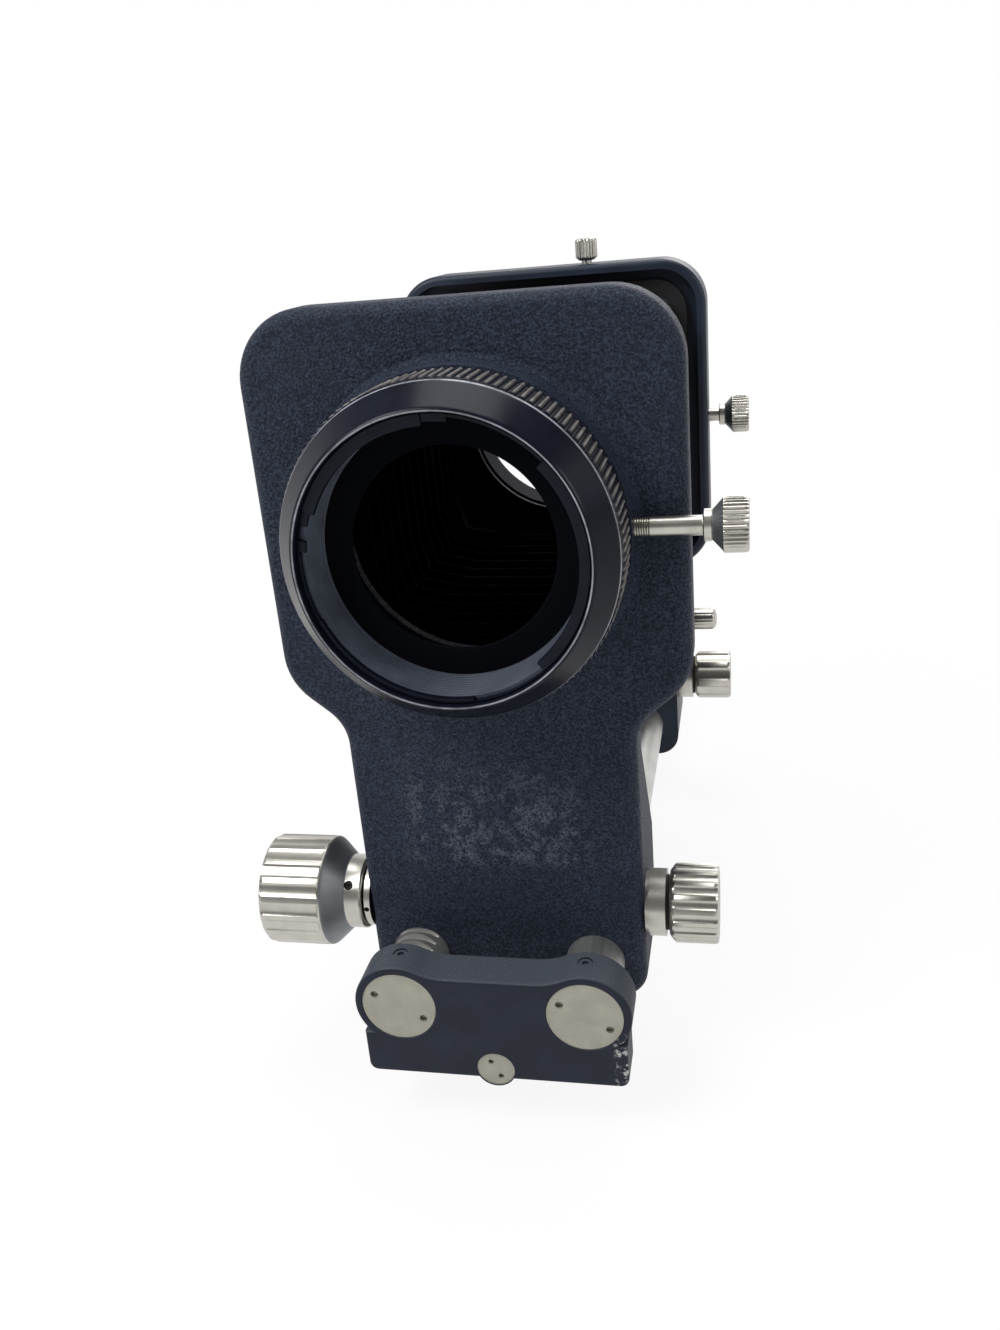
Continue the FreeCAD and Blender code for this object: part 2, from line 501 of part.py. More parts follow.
def drive(name, shaft_y, lock_r, lock_flutes, lock_end):
    """Cross shaft with its knob, pinion, bushes, lock knob, washer and set screws."""
    base = V(0, shaft_y, SHAFT_Z)
    save(drive_knob(shaft_y), f"{name}_drive_knob")
    hub = V(-HUB_SCREW_X, shaft_y, SHAFT_Z)
    grub = radial(HUB_SCREW_TURN)
    save(rod(1.0, hub + grub * SHAFT_R, hub + grub * 7.2), f"{name}_knob_set_screw")
    save(rod(SHAFT_R, base - X * 44.0, base + X * 40.0), f"{name}_cross_shaft")
    save(pinion(shaft_y), f"{name}_pinion")
    bore = SHAFT_R + FIT
    sleeve = RAIL_X + PINION_W / 2 + BUSH_TO_PINION
    left = turned([(sleeve, bore), (sleeve, BUSH_R), (NECK_HALF, BUSH_R), (NECK_HALF, 7.2), (30.0, 7.2), (30.2, 7.0),
                   (30.2, bore)], base, -X)
    collar = V(-COLLAR_SCREW_X, shaft_y, SHAFT_Z)
    out = radial(COLLAR_SCREW_TURN)
    save(left.cut(rod(0.55, collar + out * 3.9, collar + out * 9)), f"{name}_left_bush")
    save(rod(0.55, collar + out * 3.9, collar + out * 6.8), f"{name}_collar_set_screw")
    right = turned([(20.0, bore), (20.0, BUSH_R), (NECK_HALF, BUSH_R), (NECK_HALF, 6.3), (29.6, 6.3),
                    (29.6, 6.85), (32.9, 6.85), (32.9, bore)], base, X)
    save(right, f"{name}_right_bush")
    washer = turned([(32.9, bore), (32.9, 5.6), (33.4, 5.6), (33.4, bore)], base, X)
    save(washer, f"{name}_friction_washer")
    profile = [(33.5, bore), (33.5, lock_r - 1.6), (34.6, lock_r), (lock_end - 0.6, lock_r),
               (lock_end, lock_r - 0.6), (lock_end, 0), (40.3, 0), (40.3, bore)]
    groove, depth = (1.5, 0.4) if lock_flutes > 10 else (2.6, 0.6)
    lock = fluted(profile, base, X, lock_r, lock_flutes, groove, depth, (33.0, lock_end + 1))
    save(lock, f"{name}_lock_knob")


def bellows():
    """Pleated bag: two nested ruled lofts through square sections with cut corners."""
    y0, y1 = FRONT_Y + PLATE_T + 0.1, REAR_Y + TRAY_DEPTH - FRAME_T - 0.1
    step = (y1 - y0) / (2 * PLEATS)

    def bag(shrink):
        sections = []
        for i in range(2 * PLEATS + 1):
            ridge = i % 2 == 1
            half = (BELLOWS_OUTER if ridge else BELLOWS_INNER) - shrink
            cut = 8.0 if ridge else 5.5
            sections.append(cut_square(y0 + i * step, half, cut - 0.4 * shrink))
        return Part.makeLoft(sections, True, True)

    save(bag(0).cut(bag(BELLOWS_WALL)), "bellows")
    for name, y in (("front_bellows_frame", y0 - 0.1 - FRAME_T), ("rear_bellows_frame", y1 + 0.1)):
        frame = bar_of(rounded_square(y, FRAME_OUTER, 7.9), Y * FRAME_T)
        save(frame.cut(bar_of(cut_square(y - 1, FRAME_INNER, 5.0), Y * (FRAME_T + 2))), name)


def tripod():
    """Saddle block that runs on the lower rod and under the rails, with its socket and clamp."""
    block = box(-TRIPOD_HALF_X, TRIPOD_HALF_X, -TRIPOD_HALF_Y, TRIPOD_HALF_Y, 0, TRIPOD_TOP)
    upright = [e for e in block.Edges if e.BoundBox.ZLength > 1]
    block = block.makeFillet(4.0, upright)
    low = [e for e in block.Edges if e.BoundBox.ZMax < 0.01]
    block = block.makeChamfer(0.8, low)
    cuts = []
    for side in (1, -1):
        cuts.append(rod(RAIL_R + 0.3, V(side * RAIL_X, -30, RAIL_Z), V(side * RAIL_X, 30, RAIL_Z)))
    cuts.append(rod(ROD_R + FIT, V(0, -30, ROD_Z), V(0, 30, ROD_Z)))
    cuts.append(rod(5.0, V(0, 0, -1), V(0, 0, SOCKET_DEPTH + 0.5)))
    cuts.append(rod(2.05, V(-30, 0, ROD_Z), V(0, 0, ROD_Z)))
    save(block.cut(cuts), "tripod_block")
    plug = rod(5.0, V(0, 0, 0), V(0, 0, SOCKET_DEPTH + 0.5))
    insert = plug.cut(rod(SOCKET_R, V(0, 0, -1), V(0, 0, SOCKET_DEPTH)))
    save(insert, "tripod_socket_insert")
    base = V(0, 0, ROD_Z)
    profile = [(5.6, 0), (5.6, 2.0), (22.0, 2.0), (22.0, 4.2), (24.5, 4.2), (25.4, 7.5), (33.4, 7.5),
               (34.0, 6.9), (34.0, 0)]
    save(fluted(profile, base, -X, 7.5, 14, 1.7, 0.45, (24.0, 35.0)), "tripod_clamp_knob")
    save(rod(2.0, V(-5.5, 0, ROD_Z), V(-2.8, 0, ROD_Z)), "tripod_clamp_pad")


def main():
    os.makedirs("parts", exist_ok=True)
    bed()
    front_standard()
    front_mount()
    rear_standard()
    camera_mount()
    small_screws()
    drive("front", FRONT_SHAFT_Y, LOCK_R, LOCK_FLUTES, 43.4)
    drive("rear", REAR_SHAFT_Y, REAR_LOCK_R, REAR_LOCK_FLUTES, 44.0)
    bellows()
    tripod()


main()
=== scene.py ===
"""Macro bellows unit: the visible pieces and finishes, built over the unit's mechanical frame."""
import math

import bmesh
import bpy
from mathutils import Matrix, Vector


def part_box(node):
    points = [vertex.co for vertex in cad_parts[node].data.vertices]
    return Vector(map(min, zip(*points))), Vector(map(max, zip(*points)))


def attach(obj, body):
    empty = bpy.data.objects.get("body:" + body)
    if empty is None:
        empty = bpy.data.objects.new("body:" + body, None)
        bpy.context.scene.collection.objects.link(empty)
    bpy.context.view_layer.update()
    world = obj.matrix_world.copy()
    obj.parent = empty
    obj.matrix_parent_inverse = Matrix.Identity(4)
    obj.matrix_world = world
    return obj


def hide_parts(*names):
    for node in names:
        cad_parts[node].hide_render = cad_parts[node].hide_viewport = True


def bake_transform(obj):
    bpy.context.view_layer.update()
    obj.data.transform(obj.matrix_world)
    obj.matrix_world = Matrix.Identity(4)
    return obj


bl_info = {
    "name": "Macro Bellows Unit",
    "version": (1, 0, 0),
    "blender": (4, 5, 0),
    "location": "3D Viewport > Sidebar > Bellows Unit",
    "description": "Models the pieces and finishes of a macro bellows unit over its mechanical frame",
    "category": "Object",
}

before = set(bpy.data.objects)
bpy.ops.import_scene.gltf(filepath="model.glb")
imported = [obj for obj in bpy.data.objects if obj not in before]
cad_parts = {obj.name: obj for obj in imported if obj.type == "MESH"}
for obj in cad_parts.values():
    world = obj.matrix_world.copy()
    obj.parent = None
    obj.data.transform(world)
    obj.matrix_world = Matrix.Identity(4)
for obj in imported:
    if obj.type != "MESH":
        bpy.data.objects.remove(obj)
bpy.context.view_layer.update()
MM = 0.001
NEAR = 0.01 * MM  # Points closer than this count as the same place
WAYS = {"X": Vector((1, 0, 0)), "Y": Vector((0, 1, 0)), "Z": Vector((0, 0, 1))}
CIRCLE_TURN = {"X": (0, math.pi / 2, 0), "Y": (math.pi / 2, 0, 0), "Z": (0, 0, 0)}


def middle(node):
    low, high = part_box(node)
    return (low + high) / 2


def linear(hex_code):
    """A hex sRGB colour as linear red, green, blue and alpha."""
    out = []
    for i in (1, 3, 5):
        c = int(hex_code[i:i + 2], 16) / 255
        out.append(c / 12.92 if c <= 0.04045 else ((c + 0.055) / 1.055) ** 2.4)
    return (*out, 1.0)


# Centres that the pieces are turned round, read from the frame
LENS_AXIS = middle("front_mount_ring")
BOSS_HEIGHT = 4.6 * MM
FRONT_FACE_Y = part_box("front_standard")[0].y + BOSS_HEIGHT
LENS_CENTRE = Vector((0, FRONT_FACE_Y, LENS_AXIS.z))


def hex_colour(name, description, code):
    return bpy.props.FloatVectorProperty(name=name, description=description, subtype="COLOR", size=4,
                                         min=0, max=1, default=linear(code))


def length(name, description, millimetres):
    return bpy.props.FloatProperty(name=name, description=description, unit="LENGTH",
                                   default=millimetres * MM)


class BellowsUnitSizes(bpy.types.PropertyGroup):
    """Sizes a user may change"""
    knurl_teeth: bpy.props.IntProperty(name="Mount knurl teeth", description="Teeth round the lens ring",
                                       default=120, min=60, max=160)
    knurl_depth: length("Mount knurl depth", "Depth of the knurl on the lens ring", 0.55)
    head_ridges: bpy.props.IntProperty(name="Screw head ridges",
                                       description="Ridges round a thumbscrew head",
                                       default=36, min=20, max=60)
    funnel_grooves: bpy.props.IntProperty(name="Funnel grooves",
                                          description="Grooves in the lens mount's funnel",
                                          default=9, min=6, max=12)
    flute_depth: length("Flute depth", "Depth of the flutes on the focusing knobs", 0.45)
    pleats: bpy.props.IntProperty(name="Pleats", description="Folds in the bellows", default=15, min=9,
                                  max=21)
    ridge_half: length("Pleat ridge", "Half the width of the bag over its ridges", 36.2)
    valley_half: length("Pleat valley", "Half the width of the bag in its valleys", 30.4)
    cloth: length("Cloth thickness", "Thickness of the bellows cloth", 0.7)


class BellowsUnitColours(bpy.types.PropertyGroup):
    """Colours a user may change"""
    # The tops colour is a painted highlight: the grain tops are painted lighter, as if they catch the light
    stipple: hex_colour("Stippled enamel", "Rough black enamel of the front casting", "#1b2335")
    stipple_highlight_tops: hex_colour("Stipple tops", "Tops of the enamel's grains", "#3a4558")
    block: hex_colour("Block enamel", "Smoother black enamel of the end blocks", "#1a1f2b")
    satin: hex_colour("Satin enamel", "Smooth black enamel of the rear casting", "#1f2735")
    anodised: hex_colour("Anodised black", "Black of the lens and camera mounts", "#0f121c")
    funnel: hex_colour("Funnel black", "Matt black inside the lens mount", "#3a404c")
    nickel: hex_colour("Satin nickel", "Plating of the knobs and screws", "#c2bfb7")
    steel: hex_colour("Rail steel", "Ground steel of the rails", "#d2d2ce")
    cloth: hex_colour("Bellows cloth", "Coated cloth of the bellows", "#17191f")
    floor: hex_colour("Floor", "Floor and backdrop", "#f4f4f4")


# Materials

def add(tree_owner, kind, inputs=(), **settings):
    """Adds a node; its inputs, by name or in socket order, take values or the sockets to link."""
    node = tree_owner.node_tree.nodes.new("ShaderNode" + kind)
    for name, value in settings.items():
        setattr(node, name, value)
    for name, value in inputs.items() if isinstance(inputs, dict) else enumerate(inputs):
        if isinstance(value, bpy.types.Node):
            value = value.outputs[0]
        if isinstance(value, bpy.types.NodeSocket):
            tree_owner.node_tree.links.new(value, node.inputs[name])
        else:
            node.inputs[name].default_value = value
    return node


def fresh(name):
    """An empty node material and the socket that gives a point's own place."""
    material = bpy.data.materials.new(name)
    material.use_nodes = True
    material.node_tree.nodes.clear()
    return material, add(material, "TexCoord").outputs["Object"]


def shaded(material, base, rough, others):
    """Closes a material with its shader and output."""
    surface = add(material, "BsdfPrincipled", {"Base Color": base, "Roughness": rough, **others})
    add(material, "OutputMaterial", {"Surface": surface})
    return material


def per(millimetres):
    """Texture scale whose features are this many millimetres across."""
    return 1 / (millimetres * MM)


def share_of(colour, share):
    return (colour[0] * share, colour[1] * share, colour[2] * share, 1.0)


def clouded(owner, place, span_mm, band, tones, detail=4.0, roughness=0.5):
    """Soft clouds of some mm; a band of their values turns the first tone into the second."""
    cloud = add(owner, "TexNoise", {"Vector": place, "Scale": per(span_mm), "Detail": detail,
                                    "Roughness": roughness})
    patch = add(owner, "MapRange", (cloud, *band))
    return cloud, add(owner, "Mix", {0: patch, 6: tones[0], 7: tones[1]}, data_type="RGBA").outputs[2]


def stipple_enamel(colour, highlight_tops, grain_mm, depth_mm):
    """Baked wrinkle enamel: its grain tops are painted lighter and its hollows darker, a painted highlight
    and painted shade of grains catching the light, so it looks a dusty blue-grey and not black.
    """
    paint, place = fresh("baked_stipple_enamel")
    grain = add(paint, "TexNoise", {"Vector": place, "Scale": per(grain_mm), "Detail": 3.0,
                                    "Roughness": 0.65})
    cells = add(paint, "TexVoronoi", {"Vector": place, "Scale": per(grain_mm * 1.5)})
    cloud = add(paint, "TexNoise", {"Vector": place, "Scale": per(13), "Detail": 3.0})
    # Grain tops take the lighter tops colour and the rest a darkened base: a painted highlight on the
    # grains and painted shade between them
    crest = add(paint, "MapRange", (grain, 0.42, 0.7))
    base = add(paint, "Mix", {0: crest, 6: share_of(colour, 0.55), 7: highlight_tops}, data_type="RGBA").outputs[2]
    hazy = add(paint, "MapRange", (cloud, 0.4, 0.7, 0.0, 0.3))
    scuff = neck_scuff(paint, place, grain)
    for share, tone in ((hazy, share_of(colour, 0.7)), (scuff, linear("#5e636c"))):
        base = add(paint, "Mix", {0: share, 6: base, 7: tone}, data_type="RGBA").outputs[2]
    gloss = add(paint, "MapRange", (grain, 0.3, 0.7, 0.7, 0.42))
    pebble = add(paint, "Bump", {"Height": cells.outputs["Distance"], "Distance": depth_mm * 0.8 * MM,
                                 "Strength": 0.6})
    rough = add(paint, "Bump", {"Height": grain, "Distance": depth_mm * MM, "Strength": 1.0,
                                "Normal": pebble})
    return shaded(paint, base, gloss, {"Specular IOR Level": 0.2, "Normal": rough})


def neck_scuff(paint, place, grain):
    """Grey rubbing on the front of the neck: grain tops worn in patches inside a soft-edged band."""
    spot = add(paint, "SeparateXYZ", {"Vector": place})
    side = add(paint, "Math", (spot.outputs["X"],), operation="ABSOLUTE")
    zone = add(paint, "MapRange", (side, 15.5 * MM, 20 * MM, 1.0, 0.0))
    spans = (("Z", 60, 76, 1.0, 0.0), ("Z", 48, 51, 0.0, 1.0), ("Y", -68.95, -68.6, 1.0, 0.0))
    for way, low, high, first, last in spans:
        edge = add(paint, "MapRange", (spot.outputs[way], low * MM, high * MM, first, last))
        zone = add(paint, "Math", (zone, edge), operation="MULTIPLY")
    drift = add(paint, "TexNoise", {"Vector": place, "Scale": per(3.2), "Detail": 5.0, "Roughness": 0.75})
    for value, low, high in ((drift, 0.48, 0.56), (grain, 0.38, 0.6)):
        part = add(paint, "MapRange", (value, low, high, 0.0, 0.85))
        zone = add(paint, "Math", (zone, part), operation="MULTIPLY")
    return zone


def block_enamel(colour):
    """Smoother enamel of the end blocks: dusty on top, with its upward faces also painted lighter as
    painted top light, pitted, and chipped at the lower right corner.
    """
    paint, place = fresh("worn_smooth_enamel")
    fine = add(paint, "TexNoise", {"Vector": place, "Scale": per(0.5), "Detail": 3.0, "Roughness": 0.55})
    _, base = clouded(paint, place, 8, (0.35, 0.7), (colour, share_of(colour, 1.35)), 3.0)
    facing = add(paint, "SeparateXYZ", {"Vector": add(paint, "NewGeometry").outputs["Normal"]})
    # Upward faces are greyed: partly real dust, partly painted light where the top catches more light
    dust_and_top_light = add(paint, "MapRange", (facing.outputs["Z"], 0.35, 0.95, 0.0, 0.75))
    pit = add(paint, "TexVoronoi", {"Vector": place, "Scale": per(1.1)})
    speck = add(paint, "MapRange", (pit.outputs["Distance"], 0.05, 0.14, 1.0, 0.0))
    speck = add(paint, "Math", (speck, dust_and_top_light), operation="MULTIPLY")
    spot = add(paint, "SeparateXYZ", {"Vector": place})
    chips = add(paint, "MapRange", (spot.outputs["X"], 23.6 * MM, 24.4 * MM))
    low = add(paint, "MapRange", (spot.outputs["Z"], 22 * MM, 24 * MM, 1.0, 0.0))
    flakes = add(paint, "TexNoise", {"Vector": place, "Scale": per(1.5), "Detail": 5.0, "Roughness": 0.65})
    flake = add(paint, "MapRange", (flakes, 0.54, 0.58))
    front = add(paint, "MapRange", (spot.outputs["Y"], -87.0 * MM, -86.4 * MM, 1.0, 0.0))
    for part in (low, front, flake):
        chips = add(paint, "Math", (chips, part), operation="MULTIPLY")
    # 525861 on the upward faces is dust grey and painted top light together
    for share, code in ((dust_and_top_light, "#525861"), (speck, "#8d8f90"), (chips, "#a9aaa8")):
        base = add(paint, "Mix", {0: share, 6: base, 7: linear(code)}, data_type="RGBA").outputs[2]
    gloss = add(paint, "MapRange", (fine, 0.3, 0.7, 0.6, 0.45))
    skin = add(paint, "Bump", {"Height": fine, "Distance": 0.05 * MM, "Strength": 0.8})
    return shaded(paint, base, gloss, {"Specular IOR Level": 0.2, "Normal": skin})


def sprayed_enamel(colour):
    """Sprayed satin enamel of the rear casting: smooth, with a soft blue sheen on its rounded edges."""
    paint, place = fresh("sprayed_satin_enamel")
    skin = add(paint, "TexNoise", {"Vector": place, "Scale": per(0.6), "Detail": 2.0})
    tones = share_of(colour, 0.8), share_of(colour, 1.3)
    cloud, base = clouded(paint, place, 16, (0.35, 0.7), tones, 3.0)
    gloss = add(paint, "MapRange", (cloud, 0.3, 0.7, 0.36, 0.48))
    peel = add(paint, "Bump", {"Height": skin, "Distance": 0.03 * MM, "Strength": 0.5})
    return shaded(paint, base, gloss, {"Specular IOR Level": 0.25, "Normal": peel})


def anodised(name, colour, worn_and_highlit, crest_mm, rough, level):
    """Turned black-anodised aluminium with faint tool lines; crests past a radius are rubbed grey, and two
    crisp edges are painted grey, partly wear and partly a painted highlight.
    """
    skin, place = fresh(name)
    centred = add(skin, "VectorMath", (place, LENS_CENTRE), operation="SUBTRACT")
    spot = add(skin, "SeparateXYZ", {"Vector": centred})
    flat = add(skin, "CombineXYZ", {"X": spot.outputs["X"], "Z": spot.outputs["Z"]})
    radius = add(skin, "VectorMath", (flat,), operation="LENGTH").outputs["Value"]
    lathe = add(skin, "CombineXYZ", {"X": radius, "Y": spot.outputs["Y"]})
    lines = add(skin, "TexNoise", {"Vector": lathe, "Scale": per(0.3), "Detail": 2.0})
    cloud, base = clouded(skin, place, 5, (0.4, 0.7), (colour, share_of(colour, 1.5)), 4.0, 0.6)
    rub = add(skin, "MapRange", (radius, (crest_mm - 0.3) * MM, crest_mm * MM))
    uneven = add(skin, "MapRange", (cloud, 0.3, 0.65, 0.3, 1.0))
    rub = add(skin, "Math", (rub, uneven), operation="MULTIPLY")
    # Bare-metal grey along the crisp turned edges at these radii: partly wear, partly a painted highlight
    # on the edges
    for edge_mm, half_mm in ((25.35, 0.2), (29.4, 0.1)):
        away = add(skin, "Math", (radius, edge_mm * MM), operation="SUBTRACT")
        away = add(skin, "Math", (away,), operation="ABSOLUTE")
        edge = add(skin, "MapRange", (away, 0.04 * MM, half_mm * MM, 1.0, 0.0))
        edge = add(skin, "Math", (edge, uneven), operation="MULTIPLY")
        rub = add(skin, "Math", (rub, edge), operation="MAXIMUM")
    base = add(skin, "Mix", {0: rub, 6: base, 7: worn_and_highlit}, data_type="RGBA").outputs[2]
    gloss = add(skin, "MapRange", (lines, 0.3, 0.7, rough - 0.02, rough + 0.03))
    tool = add(skin, "Bump", {"Height": lines, "Distance": 0.0015 * MM, "Strength": 0.4})
    return shaded(skin, base, gloss, {"Specular IOR Level": level, "Normal": tool})


def lathe_metal(name, colour, axis, centre, rough):
    """Lathe-turned plated metal: fine rings round its axis, soft smudges, and pores that hold dirt."""
    metal, place = fresh(name)
    centred = add(metal, "VectorMath", (place, centre), operation="SUBTRACT")
    spot = add(metal, "SeparateXYZ", {"Vector": centred})
    lathe = add(metal, "CombineXYZ", {axis: spot.outputs[axis]})
    rings = add(metal, "TexNoise", {"Vector": lathe, "Scale": per(0.25), "Detail": 2.0})
    smudge = (0.42, 0.72, 0.0, 0.5)
    _, base = clouded(metal, place, 3.5, smudge, (colour, share_of(colour, 0.72)), 4.0, 0.6)
    pores = add(metal, "TexNoise", {"Vector": place, "Scale": per(0.5), "Detail": 3.0, "Roughness": 0.7})
    dirt = add(metal, "MapRange", (pores, 0.66, 0.78, 0.0, 0.3))
    base = add(metal, "Mix", {0: dirt, 6: base, 7: linear("#57534b")}, data_type="RGBA").outputs[2]
    gloss = add(metal, "MapRange", (rings, 0.25, 0.75, rough - 0.03, rough + 0.04))
    tool = add(metal, "Bump", {"Height": rings, "Distance": 0.0015 * MM, "Strength": 0.4})
    return shaded(metal, base, gloss, {"Metallic": 1.0, "Normal": tool})


def ground_steel(colour):
    """Ground and plated steel rod: fine scratches along the bed and a cool grey shine."""
    metal, place = fresh("ground_steel")
    stretched = add(metal, "Mapping", {"Vector": place, "Scale": (1.0, 0.03, 1.0)})
    scratch = add(metal, "TexNoise", {"Vector": stretched, "Scale": per(0.35), "Detail": 3.0})
    _, base = clouded(metal, place, 6, (0.4, 0.75, 0.0, 0.6), (colour, share_of(colour, 0.7)))
    gloss = add(metal, "MapRange", (scratch, 0.3, 0.7, 0.42, 0.54))
    lines = add(metal, "Bump", {"Height": scratch, "Distance": 0.003 * MM, "Strength": 0.5})
    return shaded(metal, base, gloss, {"Metallic": 1.0, "Normal": lines})


def small_metal(name, code, rough, grain_mm=0.4, metallic=1.0):
    """Small steel, brass, fibre and blasted parts: one colour, with cloudy and fine variation."""
    metal, place = fresh(name)
    colour = linear(code)
    fine = add(metal, "TexNoise", {"Vector": place, "Scale": per(grain_mm), "Detail": 3.0})
    tones = colour, share_of(colour, 0.84)
    _, base = clouded(metal, place, grain_mm * 12, (0.35, 0.7), tones)
    speck = add(metal, "MapRange", (fine, 0.6, 0.75, 0.0, 0.3))
    base = add(metal, "Mix", {0: speck, 6: base, 7: share_of(colour, 0.55)}, data_type="RGBA").outputs[2]
    gloss = add(metal, "MapRange", (fine, 0.3, 0.7, rough - 0.05, rough + 0.07))
    skin = add(metal, "Bump", {"Height": fine, "Distance": 0.012 * MM, "Strength": 0.5})
    return shaded(metal, base, gloss, {"Metallic": metallic, "Normal": skin})


def flock(colour):
    """Black flock lining: it swallows light, so the throat looks evenly dark and its folds hardly show."""
    lining, place = fresh("flocked_black")
    fibres = add(lining, "TexNoise", {"Vector": place, "Scale": per(0.3), "Detail": 2.0})
    base = add(lining, "Mix", {0: fibres, 6: share_of(colour, 0.7), 7: share_of(colour, 1.3)},
               data_type="RGBA").outputs[2]
    gloss = add(lining, "MapRange", (fibres, 0.0, 1.0, 0.9, 1.0))
    return shaded(lining, base, gloss, {"Specular IOR Level": 0.05})


def rubberised_cotton(colour):
    """Rubber-coated cotton: matt charcoal, a weave pressed through it, and folds rubbed paler."""
    cloth, place = fresh("rubberised_cotton")
    # Threads are 0.3 mm apart, drawn at 0.6 mm so that they show; a wave repeats every 0.314 at scale 1
    scale = 0.314 * per(0.6)
    weave = None
    for way in ("X", "Y", "Z"):
        thread = add(cloth, "TexWave", {"Vector": place, "Scale": scale, "Distortion": 0.6, "Detail": 1.0},
                     bands_direction=way)
        weave = thread if weave is None else add(cloth, "Math", (weave, thread), operation="ADD")
    tones = share_of(colour, 0.8), share_of(colour, 1.25)
    cloud, base = clouded(cloth, place, 5, (0.35, 0.7), tones, 4.0, 0.6)
    fold = add(cloth, "Attribute", attribute_name="fold").outputs["Fac"]
    rub = add(cloth, "MapRange", (fold, 0.8, 1.0))
    uneven = add(cloth, "MapRange", (cloud, 0.35, 0.6, 0.1, 0.7))
    rub = add(cloth, "Math", (rub, uneven), operation="MULTIPLY")
    base = add(cloth, "Mix", {0: rub, 6: base, 7: linear("#55565a")}, data_type="RGBA").outputs[2]
    gloss = add(cloth, "MapRange", (cloud, 0.3, 0.7, 0.48, 0.64))
    pressed = add(cloth, "Bump", {"Height": weave, "Distance": 0.03 * MM, "Strength": 0.5})
    return shaded(cloth, base, gloss, {"Specular IOR Level": 0.35, "Normal": pressed})


def finish_named(name):
    """The material of that name, made on first use from the unit's colours."""
    made = bpy.data.materials.get(name)
    if made:
        return made
    tint = bpy.context.scene.unit_colours
    makers = {
        "baked_stipple_enamel": lambda: stipple_enamel(tint.stipple, tint.stipple_highlight_tops, 0.37, 0.34),
        "worn_smooth_enamel": lambda: block_enamel(tint.block),
        "sprayed_satin_enamel": lambda: sprayed_enamel(tint.satin),
        # Its grey shows only on the two edge rings: wear and a painted edge highlight
        "turned_anodised_aluminium": lambda: anodised(
            name, tint.anodised, linear("#a4a7ae"), 40, 0.24, 0.12),
        "worn_anodised_knurl": lambda: anodised(name, tint.anodised, linear("#9a9691"), 30, 0.4, 0.3),
        "matt_anodised_funnel": lambda: anodised(name, tint.funnel, linear("#2c2b33"), 40, 0.5, 0.3),
        "matt_anodised_mount": lambda: anodised(name, tint.anodised, linear("#2c2b33"), 40, 0.7, 0.08),
        "flocked_black": lambda: flock(linear("#090b10")),
        "ground_steel": lambda: ground_steel(tint.steel),
        "blasted_plated_steel": lambda: small_metal(name, "#a5a396", 0.55, 0.35, 0.4),
        "blackened_steel": lambda: small_metal(name, "#262522", 0.45),
        "gear_brass": lambda: small_metal(name, "#b08d57", 0.33),
        "pressed_fibre": lambda: small_metal(name, "#26231f", 0.75, 0.4, 0.0),
        "bright_steel": lambda: small_metal(name, "#b0aea8", 0.3),
        "painted_sheet_steel": lambda: small_metal(name, "#1a1b1e", 0.5, 0.5, 0.2),
        "rubberised_cotton": lambda: rubberised_cotton(tint.cloth),
    }
    return makers[name]()


def nickel(tag, axis, centre):
    """Satin nickel plate on turned brass: bright, and slightly warm."""
    return lathe_metal("satin_nickel_" + tag, bpy.context.scene.unit_colours.nickel, axis, centre, 0.3)


def coarse_nickel(tag, axis, centre):
    """Nickel on a coarsely turned cone, which scatters the light and looks mid grey."""
    return lathe_metal("coarse_nickel_" + tag, linear("#85888b"), axis, centre, 0.5)


# Modelling helpers

def deselect():
    """Leaves edit mode and deselects everything."""
    if bpy.context.object and bpy.context.object.mode != "OBJECT":
        bpy.ops.object.mode_set(mode="OBJECT")
    bpy.ops.object.select_all(action="DESELECT")


def pick(piece, test):
    """In edit mode, selects the points that pass a test, with what lies between; says how many."""
    mesh = bmesh.from_edit_mesh(piece.data)
    for point in mesh.verts:
        point.select_set(False)
    mesh.select_flush(False)
    chosen = [point for point in mesh.verts if test(point.co)]
    for point in chosen:
        point.select_set(True)
    mesh.select_flush(True)
    bmesh.update_edit_mesh(piece.data)
    return len(chosen)


def only(piece):
    """Makes a piece the one selected and active object."""
    deselect()
    piece.select_set(True)
    bpy.context.view_layer.objects.active = piece


def closed_up(piece, material=None, angle=35):
    """Merges doubles, points faces outwards, smooths shading below an angle, and gives the material."""
    only(piece)
    bpy.ops.object.transform_apply(location=True, rotation=True, scale=True)
    bpy.ops.object.mode_set(mode="EDIT")
    bpy.ops.mesh.select_all(action="SELECT")
    bpy.ops.mesh.remove_doubles(threshold=0.002 * MM)
    bpy.ops.mesh.normals_make_consistent(inside=False)
    bpy.ops.object.mode_set(mode="OBJECT")
    bpy.ops.object.shade_smooth_by_angle(angle=math.radians(angle))
    if material:
        piece.data.materials.clear()
        piece.data.materials.append(material)
    return piece


def modified(piece, kind, **settings):
    """Adds a modifier and applies it."""
    only(piece)
    modifier = piece.modifiers.new(kind.lower(), kind)
    for name, value in settings.items():
        setattr(modifier, name, value)
    bpy.ops.object.modifier_apply(modifier=modifier.name)


def softened(piece, width, segments=2, angle=40):
    """Rounds a piece's sharp edges."""
    modified(piece, "BEVEL", width=width * MM, segments=segments, limit_method="ANGLE",
             angle_limit=math.radians(angle))


def radius_at(point, axis, centre):
    """How far a point is from an axis."""
    away = point - centre
    return (away - WAYS[axis] * away.dot(WAYS[axis])).length


def turn_at(point, axis, centre):
    """Angle of a point round an axis, in radians."""
    away = point - centre
    first, second = {"X": (away.y, away.z), "Y": (away.x, away.z), "Z": (away.x, away.y)}[axis]
    return math.atan2(second, first) % (2 * math.pi)


